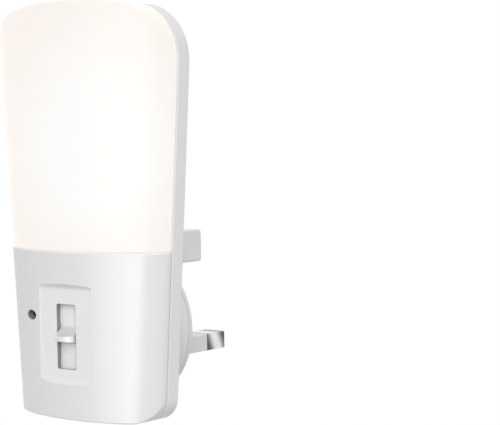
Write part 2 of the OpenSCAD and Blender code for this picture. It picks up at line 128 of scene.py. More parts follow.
class Bench:
    """Modelling steps that act on one object at a time."""

    @staticmethod
    def clear() -> None:
        """Deselects everything."""
        bpy.ops.object.select_all(action="DESELECT")

    @staticmethod
    def pick(piece: bpy.types.Object) -> None:
        """Makes one object the only selected and the active one.

        Args:
            piece: The object.
        """
        Bench.clear()
        piece.select_set(True)
        bpy.context.view_layer.objects.active = piece

    @staticmethod
    @contextmanager
    def editing(piece: bpy.types.Object, select: str = "EDGE") -> Iterator[None]:
        """Edit mode on one object, with nothing selected in it.

        Args:
            piece: The object.
            select: The select mode, VERT, EDGE or FACE.

        Yields:
            Nothing; edit mode lasts as long as the block.
        """
        Bench.pick(piece)
        bpy.ops.object.mode_set(mode="EDIT")
        bpy.ops.mesh.select_mode(type=select)
        bpy.ops.mesh.select_all(action="DESELECT")
        try:
            yield
        finally:
            bpy.ops.object.mode_set(mode="OBJECT")

    @staticmethod
    def choose(test: Callable[[bmesh.types.BMEdge], bool]) -> int:
        """Selects some edges of the object in edit mode.

        Args:
            test: Says of an edge whether it is selected.

        Returns:
            How many were selected.
        """
        mesh = bpy.context.object.data
        shape = bmesh.from_edit_mesh(mesh)
        shape.normal_update()
        chosen = [edge for edge in shape.edges if test(edge)]
        for edge in chosen:
            edge.select_set(True)
        bmesh.update_edit_mesh(mesh)
        return len(chosen)

    @staticmethod
    def extrude(move: Vector | Triple) -> None:
        """Extrudes what is selected in edit mode and moves it."""
        bpy.ops.mesh.extrude_region_move(TRANSFORM_OT_translate={"value": move})

    @staticmethod
    def face_outwards() -> None:
        """Turns all faces of the object in edit mode outwards."""
        bpy.ops.mesh.select_all(action="SELECT")
        bpy.ops.mesh.normals_make_consistent(inside=False)

    @staticmethod
    def soften(
        piece: bpy.types.Object,
        test: Callable[[bmesh.types.BMEdge], bool],
        width: float,
        steps: int = 3,
    ) -> None:
        """Rounds some edges of a piece.

        Args:
            piece: The object.
            test: Says of an edge whether it is rounded.
            width: How far the round reaches into each face.
            steps: Faces across the round.
        """
        with Bench.editing(piece):
            if Bench.choose(test):
                bpy.ops.mesh.bevel(offset=width, segments=steps, profile=0.5, affect="EDGES")

    @staticmethod
    def combine(target: bpy.types.Object, tool: bpy.types.Object, how: Join = Join.REMOVE) -> None:
        """Cuts a shape with another, adds it or keeps what they share. The other one is used up.

        Args:
            target: The shape that stays.
            tool: The other shape.
            how: What the other shape does.
        """
        Bench.pick(target)
        step = target.modifiers.new("combine", "BOOLEAN")
        step.operation = how.value
        step.object = tool
        step.solver = "EXACT"
        bpy.ops.object.modifier_apply(modifier=step.name)
        bpy.data.objects.remove(tool, do_unlink=True)

    @staticmethod
    def tidy(piece: bpy.types.Object, gap: float = 0.0005) -> None:
        """Merges points that coincide and turns all faces outwards.

        Args:
            piece: The object.
            gap: Distance up to which points are merged.
        """
        with Bench.editing(piece, "VERT"):
            bpy.ops.mesh.select_all(action="SELECT")
            bpy.ops.mesh.remove_doubles(threshold=gap)
            Bench.face_outwards()
            if bmesh.from_edit_mesh(piece.data).calc_volume(signed=True) < 0:
                bpy.ops.mesh.flip_normals()

    @staticmethod
    def polish(piece: bpy.types.Object) -> None:
        """Shades a piece smooth up to its sharp edges, with the flat faces kept flat.

        Args:
            piece: The piece.
        """
        Bench.pick(piece)
        bpy.ops.object.shade_smooth_by_angle(angle=SMOOTH_ANGLE)
        step = piece.modifiers.new("flatten", "WEIGHTED_NORMAL")
        step.keep_sharp = True
        step.weight = FLAT_WEIGHT
        bpy.ops.object.modifier_apply(modifier=step.name)

    @staticmethod
    def bake_place(piece: bpy.types.Object) -> None:
        """Moves an object's place, turn and scale into its mesh."""
        Bench.pick(piece)
        bpy.ops.object.transform_apply(location=True, rotation=True, scale=True)

    @staticmethod
    def box(low: Triple, high: Triple) -> bpy.types.Object:
        """A box between two corners, to be cut or joined with another shape.

        Args:
            low: Its lowest corner.
            high: Its highest corner.

        Returns:
            The box.
        """
        Bench.clear()
        size = [b - a for a, b in zip(low, high)]
        middle = [(a + b) / 2 for a, b in zip(low, high)]
        bpy.ops.mesh.primitive_cube_add(size=1, location=middle, scale=size)
        Bench.bake_place(bpy.context.object)
        return bpy.context.object

    @staticmethod
    def block(size: Pair, low: float, high: float, middle: Pair = (0.0, 0.0)) -> bpy.types.Object:
        """A box around a line along the depth, to be cut or joined with another shape.

        Args:
            size: Its width and height.
            low: The depth at which it starts.
            high: The depth at which it ends.
            middle: X and height of its middle.

        Returns:
            The box.
        """
        half_width, half_height = size[0] / 2, size[1] / 2
        x, z = middle
        return Bench.box((x - half_width, low, z - half_height), (x + half_width, high, z + half_height))

    @staticmethod
    def rod(place: Pair, radius: float, low: float, high: float, sides: int = 64) -> bpy.types.Object:
        """A round rod along the depth, to be cut or joined with another shape.

        Args:
            place: Its X and height.
            radius: Its radius.
            low: The depth at which it starts.
            high: The depth at which it ends.
            sides: Faces around it.

        Returns:
            The rod.
        """
        Bench.clear()
        bpy.ops.mesh.primitive_cylinder_add(
            vertices=sides,
            radius=radius,
            depth=high - low,
            location=(place[0], (low + high) / 2, place[1]),
            rotation=(math.pi / 2, 0, 0),
        )
        Bench.bake_place(bpy.context.object)
        return bpy.context.object


class Sketch:
    """A closed outline of lines and arcs, drawn from point to point. Lengths are millimetres."""

    JOIN_GAP = 0.001

    def __init__(self, name: str, start: Pair, plane: Plane = Plane.FRONT) -> None:
        """Starts the outline.

        Args:
            name: Name of the object that it becomes.
            start: Its first point, along the plane's two drawing axes.
            plane: The plane that it is drawn in.
        """
        self.plane = plane
        self.at = Vector(start)
        Bench.clear()
        bpy.ops.mesh.primitive_plane_add(size=1)
        self.piece = bpy.context.object
        self.piece.name = self.piece.data.name = name
        with Bench.editing(self.piece, "VERT"):
            bpy.ops.mesh.select_all(action="SELECT")
            bpy.ops.mesh.merge(type="CENTER")
            bpy.ops.transform.translate(value=self._spread(self.at))
            bpy.ops.mesh.select_all(action="SELECT")
        self.steps: list[Callable[[], None]] = []

    def _spread(self, flat: Vector) -> Vector:
        """A point of the plane as a point in space."""
        return self.plane.across * flat.x + self.plane.upward * flat.y

    def line(self, to: Pair | Vector) -> "Sketch":
        """Adds a straight stretch.

        Args:
            to: Its end.

        Returns:
            The sketch itself.
        """
        move = self._spread(Vector(to) - self.at)
        self.at = Vector(to)
        self.steps.append(lambda: Bench.extrude(move))
        return self

    def arc(self, centre: Pair | Vector, degrees: float, steps: int) -> "Sketch":
        """Adds an arc about a centre, counterclockwise where the angle is positive.

        Args:
            centre: The arc's centre.
            degrees: The angle that it turns through.
            steps: Straight pieces that it is made of.

        Returns:
            The sketch itself.
        """
        middle = Vector(centre)
        axis = -self.plane.across.cross(self.plane.upward)
        angle = math.radians(degrees)
        self.at = middle + Matrix.Rotation(angle, 2) @ (self.at - middle)
        self.steps.append(
            lambda: bpy.ops.mesh.spin(steps=steps, angle=angle, center=self._spread(middle), axis=axis)
        )
        return self

    def solid(self, low: float, high: float) -> bpy.types.Object:
        """Closes the outline and extrudes it.

        Args:
            low: The depth at which the solid starts.
            high: The depth at which it ends.

        Returns:
            The solid.
        """
        Bench.pick(self.piece)
        bpy.ops.object.mode_set(mode="EDIT")
        for step in self.steps:
            step()
        bpy.ops.mesh.select_all(action="SELECT")
        bpy.ops.mesh.remove_doubles(threshold=self.JOIN_GAP)
        bpy.ops.mesh.edge_face_add()
        bpy.ops.transform.translate(value=self.plane.depth * low)
        Bench.extrude(self.plane.depth * (high - low))
        Bench.face_outwards()
        bpy.ops.object.mode_set(mode="OBJECT")
        return self.piece


def rounded_rectangle(name: str, size: Pair, corner: float, middle: Pair, steps: int = 6) -> Sketch:
    """A rectangle with round corners in the front plane.

    Args:
        name: Name of the object.
        size: Its width and height.
        corner: Radius of its corners.
        middle: Its middle.
        steps: Straight pieces that a corner is made of.

    Returns:
        The sketch.
    """
    across, upward = size[0] / 2 - corner, size[1] / 2 - corner
    x, z = middle
    sketch = Sketch(name, (x - across, z - upward - corner))
    for turn in range(4):
        side = Matrix.Rotation(math.pi / 2 * turn, 2)
        reach = Vector((across, upward) if turn % 2 == 0 else (upward, across))
        centre = Vector(middle) + side @ Vector((reach.x, -reach.y))
        sketch.line(centre + side @ Vector((0, -corner))).arc(centre, 90, steps)
    return sketch


def dihedral(edge: bmesh.types.BMEdge) -> float:
    """Angle between the two faces at an edge, in degrees; 0 where it has fewer."""
    return math.degrees(edge.calc_face_angle(0.0)) if len(edge.link_faces) == 2 else 0.0


def spans(edge: bmesh.types.BMEdge, axis: int, low: float, high: float) -> bool:
    """Whether both ends of an edge lie between two values along an axis."""
    return all(low <= vert.co[axis] <= high for vert in edge.verts)


def lies_at(edge: bmesh.types.BMEdge, depth: float) -> bool:
    """Whether both ends of an edge lie at a depth."""
    return spans(edge, DEPTH, depth - NEAR, depth + NEAR)


# ------------------------------------------------------------------ form of the case


@dataclass
class CaseForm:
    """Outline and curved front that the shells of the case share.

    Depths are measured from the parting line between the front and the rear, towards the
    wall, and heights from the bottom edge. Shapes that reach out past the curved front start
    at clear_front or outline_front.
    """

    height: float
    boss_height: float
    plug_depth: float
    base_width: float = 43.4
    top_width: float = 56.2
    base_corner: float = 5.3
    top_corner: float = 13.1
    top_rise: float = 3.5
    base_crown: float = 10.0
    top_crown: float = 10.6
    land: float = 0.06
    seam: float = 38.9
    front_wall: float = 1.6
    clear_front: float = -12.0
    outline_front: float = -20.0
    corner_steps: int = 20
    arch_steps: int = 28
    barrel_sides: int = 200
    ring_pitch: float = 4.0
    round_steps: int = 4
    parting_band: float = 0.3
    crown_band: float = 0.05
    crown_tolerance: float = math.radians(6)

    @classmethod
    def from_frame(cls) -> "CaseForm":
        """The form, with its height and the place of the plug from the CAD frame."""
        low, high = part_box("rear_casing")
        return cls(height=(high.z - low.z) / MM, boss_height=-low.z / MM, plug_depth=-low.y / MM)

    @property
    def slope(self) -> float:
        """How much half the width grows with height."""
        return (self.top_width - self.base_width) / 2 / self.height

    @property
    def lean(self) -> float:
        """Lean of the sides, in radians."""
        return math.atan(self.slope)

    @property
    def arch(self) -> Pair:
        """Radius of the arched top, and the height of its centre."""
        radius = ((self.top_width / 2) ** 2 + self.top_rise**2) / (2 * self.top_rise)
        return radius, self.height - radius

    def side(self, height: float, inset: float = 0.0) -> float:
        """Half the width at a height, of the outline moved in by an inset."""
        return self.base_width / 2 - inset / math.cos(self.lean) + self.slope * height

    def crown(self, height: float, inset: float = 0.0) -> float:
        """Depth of the curved front in its middle at a height, moved in by an inset."""
        return self.base_crown + (self.top_crown - self.base_crown) * height / self.height - inset

    def is_sharp(self, edge: bmesh.types.BMEdge, angle: float, heights: Pair) -> bool:
        """Whether an edge is sharper than an angle, between two heights and off the parting face."""
        on_parting = spans(edge, DEPTH, -self.parting_band, NEAR)
        return dihedral(edge) > angle and spans(edge, HEIGHT, *heights) and not on_parting

    def _top_corner_height(self, inset: float, radius: float) -> float:
        """Height of the centre of a top corner, whose circle touches both the side and the arch.

        Args:
            inset: How far the outline is moved in.
            radius: The circle's radius.

        Returns:
            The height.
        """
        arch_radius, arch_middle = self.arch
        start = self.base_width / 2 - (inset + radius) / math.cos(self.lean)
        square = self.slope**2 + 1
        linear = 2 * (start * self.slope - arch_middle)
        rest = start**2 + arch_middle**2 - (arch_radius - inset - radius) ** 2
        return (-linear + math.sqrt(linear**2 - 4 * square * rest)) / (2 * square)

    def outline(self, name: str, inset: float = 0.0) -> Sketch:
        """The case's outline in the front plane.

        Args:
            name: Name of the object.
            inset: How far the outline is moved in.

        Returns:
            The sketch.
        """
        low_radius, top_radius = self.base_corner - inset, self.top_corner - inset
        low = (self.side(self.base_corner, inset) - low_radius / math.cos(self.lean), self.base_corner)
        top_height = self._top_corner_height(inset, top_radius)
        top = (self.side(top_height, inset) - top_radius / math.cos(self.lean), top_height)
        arch_middle = self.arch[1]
        turn = math.degrees(math.atan2(top[1] - arch_middle, top[0]))
        lean = math.degrees(self.lean)
        outward = Vector((math.cos(self.lean), -math.sin(self.lean)))
        sketch = Sketch(name, (-low[0], low[1] - low_radius))
        sketch.line((low[0], low[1] - low_radius))
        sketch.arc(low, 90 - lean, self.corner_steps)
        sketch.line(Vector(top) + outward * top_radius)
        sketch.arc(top, turn + lean, self.corner_steps)
        sketch.arc((0, arch_middle), 180 - 2 * turn, self.arch_steps)
        sketch.arc((-top[0], top[1]), turn + lean, self.corner_steps)
        sketch.line(Vector((-low[0], low[1])) + Vector((-outward.x, outward.y)) * low_radius)
        sketch.arc((-low[0], low[1]), 90 - lean, self.corner_steps)
        return sketch

    def _rings(self, low: float, high: float, rounds: Pair) -> list[Pair]:
        """Heights and insets of a barrel's rings, from its rounded foot to its rounded head.

        Args:
            low: Height of its bottom.
            high: Height of its top.
            rounds: Radius of the round at its bottom edge and at its top edge.

        Returns:
            The height and the inset of each ring.
        """
        foot, head = rounds
        turns = [math.radians(90 * step / self.round_steps) for step in range(self.round_steps)]
        bends = [(1 - math.cos(turn), 1 - math.sin(turn)) for turn in turns]
        start, end = low + foot, high - head
        count = max(1, round((end - start) / self.ring_pitch))
        rings = [(low + foot * rise, foot * give) for rise, give in bends if foot]
        rings += [(start + (end - start) * step / count, 0.0) for step in range(count + 1)]
        rings += [(high - head * rise, head * give) for rise, give in reversed(bends) if head]
        return rings

    def barrel(
        self, name: str, inset: float, low: float, high: float, rounds: Pair = (0.0, 0.0)
    ) -> bpy.types.Object:
        """The elliptic barrel whose front is the curved front of the case.

        Args:
            name: Name of the object.
            inset: How far the surface is moved in.
            low: Height of its bottom.
            high: Height of its top.
            rounds: Radius of the round at its bottom edge and at its top edge.

        Returns:
            The barrel.
        """
        sizes = [
            (height, self.side(height) + self.land - inset - give, self.crown(height, inset) - give)
            for height, give in self._rings(low, high, rounds)
        ]
        Bench.clear()
        bpy.ops.mesh.primitive_circle_add(
            vertices=self.barrel_sides, radius=1, fill_type="NGON", location=(0, 0, sizes[0][0])
        )
        barrel = bpy.context.object
        barrel.name = barrel.data.name = name
        Bench.bake_place(barrel)
        with Bench.editing(barrel, "FACE"):
            bpy.ops.mesh.select_all(action="SELECT")
            bpy.ops.transform.resize(value=(sizes[0][1], sizes[0][2], 1))
            for (height, across, deep), (above, next_across, next_deep) in zip(sizes, sizes[1:]):
                Bench.extrude((0, 0, above - height))
                bpy.ops.transform.resize(value=(next_across / across, next_deep / deep, 1))
            Bench.face_outwards()
        return barrel

    def front(
        self,
        name: str,
        inset: float,
        low: float,
        high: float,
        back: float = 0.0,
        rounds: Pair = (0.0, 0.0),
    ) -> bpy.types.Object:
        """What lies inside the curved front and the outline between two heights.

        Args:
            name: Name of the object.
            inset: How far the surface is moved in.
            low: The lower height.
            high: The upper height.
            back: The depth at which it ends.
            rounds: Radius of the round at the front's bottom edge and at its top edge.

        Returns:
            The solid.
        """
        solid = self.barrel(name, inset, low, high, rounds)
        outline = self.outline("outline", inset).solid(self.outline_front, back)
        Bench.combine(solid, outline, Join.SHARE)
        return solid

    def put(self, piece: bpy.types.Object, in_case: bool = True) -> None:
        """Scales a finished piece to metres and puts it in the frame.

        Args:
            piece: The piece.
            in_case: Whether it was drawn from the parting line and the bottom edge of the
                case, and not from the middle of the plug's face.
        """
        Bench.tidy(piece)
        Bench.polish(piece)
        if in_case:
            self.even_out(piece)
            piece.location = Vector((0, -self.plug_depth, -self.boss_height)) * MM
        piece.scale = (MM, MM, MM)
        Bench.bake_place(piece)

    def _crown_normal(self, place: Vector) -> tuple[float, Vector]:
        """How far a point lies from the curved front, and the front's normal there.

        Args:
            place: The point.

        Returns:
            The distance, as a share of the front's depth, and the normal.
        """
        half_width, depth = self.side(place.z) + self.land, self.crown(place.z)
        growth = (self.top_crown - self.base_crown) / self.height
        across, forward = place.x / half_width, place.y / depth
        rise = across**2 * self.slope / half_width + forward**2 * growth / depth
        normal = Vector((across / half_width, forward / depth, -rise)).normalized()
        return across**2 + forward**2 - 1, normal

    def even_out(self, piece: bpy.types.Object) -> None:
        """Shades the faces on the curved front as one unbroken curve, whatever is cut into it.

        Args:
            piece: The piece, still drawn from the parting line and the bottom edge.
        """
        mesh = piece.data
        normals = [Vector(corner.vector) for corner in mesh.corner_normals]
        for face in mesh.polygons:
            off, middle_normal = self._crown_normal(face.center)
            lean = face.normal.angle(middle_normal, math.pi)
            if abs(off) < self.crown_band and lean < self.crown_tolerance:
                for loop, index in zip(face.loop_indices, face.vertices):
                    normals[loop] = self._crown_normal(mesh.vertices[index].co)[1]
        mesh.normals_split_custom_set(normals)


# ------------------------------------------------------------------ shells of the case


@dataclass
class FrontHousing:
    """Lower front shell with the recessed slider panel and the sensor hole."""

    form: CaseForm
    shelf: Pair = (36.5, 37.7)
    panel_width: float = 16.7
    panel: Pair = (9.45, 29.83)
    panel_sink: float = 0.9
    panel_wall: float = 1.1
    coves: Pair = (1.2, 1.6)
    cove_turn: float = 55.0
    cove_steps: int = 10
    cove_lead: float = 3.0
    slot: Pair = (6.1, 15.1)
    slot_middle: float = 19.1
    slot_corner: float = 0.45
    sensor: Pair = (-11.6, 23.5)
    sensor_hole: Pair = (1.85, 1.2)
    sensor_hole_end: float = -5.0
    sensor_collar: float = 2.6
    sensor_collar_end: float = -6.3
    lip: float = 0.55
    foot: float = 0.4
    foot_round: float = 0.25
    foot_angle: float = 38.0
    foot_heights: Pair = (0.2, 6.0)

    @property
    def panel_face(self) -> float:
        """Depth at which the flat panel lies."""
        return self.panel_sink - self.form.crown(self.slot_middle)

    @property
    def panel_back(self) -> float:
        """Depth of the back of the panel's wall."""
        return self.panel_face + self.panel_wall

    def _hollow(self) -> bpy.types.Object:
        """The space inside the shell, which leaves the panel's wall and the sensor's collar.

        Returns:
            The space as a solid.
        """
        form = self.form
        hollow = form.front("hollow", form.front_wall, -CUT, self.shelf[0], CUT)
        pad = self.panel_width / 2 + self.panel_wall
        low, high = self.panel[0] - self.coves[0], self.panel[1] + self.coves[1]
        Bench.combine(hollow, Bench.box((-pad, form.clear_front, low), (pad, self.panel_back, high)))
        collar = Bench.rod(self.sensor, self.sensor_collar, form.clear_front, self.sensor_collar_end)
        Bench.combine(hollow, collar)
        return hollow

    def _recess(self) -> bpy.types.Object:
        """The space of the recessed panel, with a coved wall above and below.

        Returns:
            The space as a solid.
        """
        face, turn = self.panel_face, math.radians(self.cove_turn)
        (low, high), (under, over) = self.panel, self.coves
        tips = [Vector((face - cove * (1 - math.cos(turn)), cove * math.sin(turn))) for cove in self.coves]
        lead = Vector((-math.sin(turn), math.cos(turn))) * self.cove_lead
        sketch = Sketch("recess", (face, low), Plane.SIDE)
        sketch.line((face, high)).arc((face - over, high), self.cove_turn, self.cove_steps)
        sketch.line((tips[1].x + lead.x, high + tips[1].y + lead.y))
        sketch.line((tips[0].x + lead.x, low - tips[0].y - lead.y))
        sketch.line((tips[0].x, low - tips[0].y)).arc((face - under, low), self.cove_turn, self.cove_steps)
        return sketch.solid(-self.panel_width / 2, self.panel_width / 2)

    def _hole(self) -> bpy.types.Object:
        """The oval sensor hole, as a solid that reaches into the collar.

        Returns:
            The solid.
        """
        hole = Bench.rod((0, 0), 1.0, self.form.clear_front, self.sensor_hole_end)
        hole.scale = (self.sensor_hole[0], 1, self.sensor_hole[1])
        hole.location = (self.sensor[0], 0, self.sensor[1])
        Bench.bake_place(hole)
        return hole

    def build(self) -> bpy.types.Object:
        """Models the shell.

        Returns:
            The piece.
        """
        form = self.form
        shell = form.front("housing_shell", 0.0, 0.0, form.seam, 0.0, (self.foot, self.lip))
        Bench.soften(
            shell,
            lambda edge: form.is_sharp(edge, self.foot_angle, self.foot_heights),
            self.foot_round,
            steps=2,
        )
        Bench.combine(shell, self._hollow())
        Bench.combine(shell, form.front("groove", form.front_wall, self.shelf[1], form.seam + CUT, CUT))
        Bench.combine(shell, self._recess())
        slot = rounded_rectangle("slot", self.slot, self.slot_corner, (0, self.slot_middle))
        Bench.combine(shell, slot.solid(self.panel_face - CUT, self.panel_back + CUT))
        Bench.combine(shell, self._hole())
        form.put(shell)
        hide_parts("front_housing")
        return shell


@dataclass
class Diffuser:
    """Opal front shell over the light sources."""

    form: CaseForm
    seam_gap: float = 0.06
    foot: float = 0.15
    top_round: float = 0.8
    top_angle: float = 30.0
    top_start: float = 20.0

    def build(self) -> bpy.types.Object:
        """Models the shell.

        Returns:
            The piece.
        """
        form = self.form
        low, high = form.seam + self.seam_gap, form.height + CUT
        shell = form.front("diffuser_shell", 0.0, low, high, 0.0, (self.foot, 0.0))
        heights = (form.seam + self.top_start, high)
        Bench.soften(
            shell, lambda edge: form.is_sharp(edge, self.top_angle, heights), self.top_round, steps=4
        )
        Bench.combine(shell, form.front("hollow", form.front_wall, low - CUT, high, CUT))
        form.put(shell)
        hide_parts("diffuser")
        return shell


@dataclass
class RearCasing:
    """Rear casing with its rim and the hollow boss that carries the plug."""

    form: CaseForm
    rim: float = 4.4
    wall: float = 1.8
    front_round: float = 0.3
    rim_round: float = 0.5
    groove_width: float = 0.45
    groove_depth: float = 0.5
    boss_radius: float = 18.0
    boss_steps: int = 120
    boss_wall: float = 1.8
    boss_round: float = 0.25
    boss_overlap: float = 0.5
    plate_step: float = 1.6
    lobe_width: float = 9.6
    lobe_top: float = 24.43
    lobe_corner: float = 2.4
    lobe_steps: int = 8
    screws: tuple[Pair, ...] = ((16.5, 5.2), (18.6, 35.5))
    screw_post: float = 3.0
    screw_recess: float = 2.6
    screw_sink: float = 1.8
    screw_hole: float = 1.3

    def boss_outline(self, name: str, inset: float) -> Sketch:
        """The boss's outline about its middle: a disc with a lobe around the earth pin.

        Args:
            name: Name of the object.
            inset: How far the outline is moved in.

        Returns:
            The sketch.
        """
        radius = self.boss_radius - inset
        half, top = self.lobe_width / 2 - inset, self.lobe_top - inset
        corner = self.lobe_corner - inset / 2
        root = math.sqrt(radius**2 - half**2)
        sweep = 360 - 2 * math.degrees(math.atan2(half, root))
        sketch = Sketch(name, (half, root))
        sketch.line((half, top - corner)).arc((half - corner, top - corner), 90, self.lobe_steps)
        sketch.line((corner - half, top)).arc((corner - half, top - corner), 90, self.lobe_steps)
        sketch.line((-half, root)).arc((0, 0), sweep, self.boss_steps)
        return sketch

    def _lift(self, shape: bpy.types.Object) -> bpy.types.Object:
        """Lifts a shape that was drawn about the boss's middle to the boss's height.

        Args:
            shape: The shape.

        Returns:
            The same shape.
        """
        shape.location.z = self.form.boss_height
        Bench.bake_place(shape)
        return shape

    def build(self) -> bpy.types.Object:
        """Models the casing.

        Returns:
            The piece.
        """
        form = self.form
        casing = form.outline("casing_shell").solid(self.groove_width, self.rim)
        Bench.soften(casing, lambda edge: lies_at(edge, self.groove_width), self.front_round)
        Bench.soften(casing, lambda edge: lies_at(edge, self.rim), self.rim_round)
        Bench.combine(casing, form.outline("step", self.groove_depth).solid(0, CUT), Join.ADD)
        boss_end = form.plug_depth - self.plate_step
        boss = self.boss_outline("boss", 0.0).solid(self.rim - self.boss_overlap, boss_end)
        Bench.soften(boss, lambda edge: lies_at(edge, boss_end), self.boss_round, steps=2)
        Bench.combine(casing, self._lift(boss), Join.ADD)
        hollow = form.outline("hollow", self.wall).solid(-CUT, self.rim - self.wall)
        places = [(side * x, z) for x, z in self.screws for side in (-1, 1)]
        for place in places:
            Bench.combine(hollow, Bench.rod(place, self.screw_post, 0, self.rim, sides=40))
        Bench.combine(casing, hollow)
        bore = self.boss_outline("bore", self.boss_wall).solid(self.rim - self.wall - CUT, form.plug_depth)
        Bench.combine(casing, self._lift(bore))
        seat, end = self.rim - self.screw_sink, self.rim + CUT
        for place in places:
            Bench.combine(casing, Bench.rod(place, self.screw_recess, seat, end, sides=40))
            Bench.combine(casing, Bench.rod(place, self.screw_hole, -CUT, end, sides=24))
        form.put(casing)
        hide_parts("rear_casing")
        return casing


# ------------------------------------------------------------------ plug


class Pole(Enum):
    """A metal pin of the plug, by the side that it is on: 1 is the right."""

    NEUTRAL = -1
    LIVE = 1


@dataclass
class Plug:
    """Base plate, earth pin, live and neutral pins and their sleeves.

    Drawn about the middle of the boss, with depth 0 on the face that meets the socket.
    """

    form: CaseForm
    casing: RearCasing
    plate_inset: float = 0.12
    plate_depth: float = 4.6
    plate_rounds: Pair = (0.45, 0.3)
    spigot_gap: float = 0.1
    spigot_overlap: float = 0.3
    pin_drop: float = 4.6
    pin_pitch: float = 22.23
    pin_size: Pair = (6.35, 4.0)
    pin_length: float = 17.7
    pin_corner: float = 1.3
    pin_chamfer: Pair = (1.7, 1.1)
    pin_round: float = 0.16
    pin_angle: float = 20.0
    neck_overlap: float = 0.5
    sleeve_length: float = 9.5
    sleeve_wall: Pair = (0.8, 0.7)
    sleeve_round: float = 0.22
    sleeve_gap: float = 0.03
    earth_rise: float = 22.23
    earth_size: Pair = (4.0, 8.0)
    earth_length: float = 22.73
    earth_corner: float = 1.0
    earth_round: float = 0.45
    earth_angle: float = 40.0
    flange_size: Pair = (5.6, 9.6)
    flange_thickness: float = 1.2
    corner_steps: int = 8

    @property
    def earth_height(self) -> float:
        """Height of the earth pin's middle."""
        return self.earth_rise - self.pin_drop

    def _pin_place(self, pole: Pole) -> Pair:
        """X and height of the middle of a metal pin."""
        return pole.value * self.pin_pitch / 2, -self.pin_drop

    def _bar(self, name: str, start: float, length: float, height: float, corner: float) -> Sketch:
        """Side view of a pin whose end corners are round.

        Args:
            name: Name of the object.
            start: Depth at which it starts.
            length: Depth at which it ends.
            height: Its height.
            corner: Radius of its end corners.

        Returns:
            The sketch.
        """
        half = height / 2
        sketch = Sketch(name, (start, -half), Plane.SIDE)
        sketch.line((length - corner, -half)).arc((length - corner, corner - half), 90, self.corner_steps)
        sketch.line((length, half - corner)).arc((length - corner, half - corner), 90, self.corner_steps)
        return sketch.line((start, half))

    def _core(self, low: float, high: float) -> bpy.types.Object:
        """A bar that fills the inside of a sleeve between two depths."""
        size = (self.pin_size[0] - 2 * self.sleeve_wall[0], self.pin_size[1] - 2 * self.sleeve_wall[1])
        return Bench.block(size, low, high)

    def _seat(self, piece: bpy.types.Object, place: Pair) -> None:
        """Puts a pin or sleeve that was drawn about its own middle in its place on the plug.

        Args:
            piece: The pin or sleeve.
            place: X and height of its middle.
        """
        piece.location = (place[0], 0, place[1])
        Bench.bake_place(piece)
        self.form.put(piece, in_case=False)

    def plate(self) -> bpy.types.Object:
        """Models the plate that closes the boss.

        Returns:
            The piece.
        """
        step = self.casing.plate_step
        plate = self.casing.boss_outline("plug_plate", self.plate_inset).solid(-step, 0)
        Bench.soften(plate, lambda edge: lies_at(edge, 0), self.plate_rounds[0])
        Bench.soften(plate, lambda edge: lies_at(edge, -step), self.plate_rounds[1], steps=2)
        spigot = self.casing.boss_outline("spigot", self.casing.boss_wall + self.spigot_gap)
        Bench.combine(plate, spigot.solid(-self.plate_depth, self.spigot_overlap - step), Join.ADD)
        start = -self.plate_depth - CUT
        for pole in Pole:
            Bench.combine(plate, Bench.block(self.pin_size, start, CUT, self._pin_place(pole)))
        Bench.combine(plate, Bench.block(self.earth_size, start, CUT, (0, self.earth_height)))
        self.form.put(plate, in_case=False)
        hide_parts("pin_plate")
        return plate

    def earth(self) -> bpy.types.Object:
        """Models the plastic earth pin.

        Returns:
            The piece.
        """
        half, height = self.earth_size[0] / 2, self.earth_size[1]
        root = -self.plate_depth - self.flange_thickness / 2
        pin = self._bar("earth_blade", root, self.earth_length, height, self.earth_corner).solid(-half, half)
        Bench.soften(pin, lambda edge: dihedral(edge) > self.earth_angle, self.earth_round)
        flange_front = -self.plate_depth - self.flange_thickness
        flange = Bench.block(self.flange_size, flange_front, -self.plate_depth)
        Bench.combine(pin, flange, Join.ADD)
        self._seat(pin, (0, self.earth_height))
        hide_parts("earth_pin")
        return pin

    def blade(self, pole: Pole) -> bpy.types.Object:
        """Models a metal pin: contact end, neck under the sleeve and tail in the plate.

        Args:
            pole: Which of the two pins.

        Returns:
            The piece.
        """
        is_live = pole is Pole.LIVE
        name, node = ("live_blade", "live_pin") if is_live else ("neutral_blade", "neutral_pin")
        half, height = self.pin_size[0] / 2, self.pin_size[1]
        root = self.sleeve_length + self.sleeve_gap
        blade = self._bar(name, root, self.pin_length, height, self.pin_corner).solid(-half, half)
        along, across = self.pin_chamfer
        for turn in (-1, 1):
            with Bench.editing(blade, "FACE"):
                bpy.ops.mesh.select_all(action="SELECT")
                bpy.ops.mesh.bisect(
                    plane_co=(turn * half, self.pin_length - along, 0),
                    plane_no=(turn * along, across, 0),
                    use_fill=True,
                    clear_outer=True,
                )
        Bench.soften(
            blade,
            lambda edge: dihedral(edge) > self.pin_angle and not lies_at(edge, root),
            self.pin_round,
            steps=2,
        )
        Bench.combine(blade, self._core(-CUT, self.sleeve_length + self.neck_overlap), Join.ADD)
        Bench.combine(blade, Bench.block(self.pin_size, -self.plate_depth, -CUT), Join.ADD)
        self._seat(blade, self._pin_place(pole))
        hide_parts(node)
        return blade

    def sleeve(self, pole: Pole) -> bpy.types.Object:
        """Models the insulating sleeve of a metal pin.

        Args:
            pole: Which of the two pins.

        Returns:
            The piece.
        """
        is_live = pole is Pole.LIVE
        name, node = ("live_collar", "live_sleeve") if is_live else ("neutral_collar", "neutral_sleeve")
        sleeve = Bench.block(self.pin_size, -CUT, self.sleeve_length)
        sleeve.name = sleeve.data.name = name
        Bench.soften(sleeve, lambda edge: not lies_at(edge, -CUT), self.sleeve_round)
        Bench.combine(sleeve, self._core(-2 * CUT, self.sleeve_length + CUT))
        self._seat(sleeve, self._pin_place(pole))
        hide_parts(node)
        return sleeve


# ------------------------------------------------------------------ thumb piece


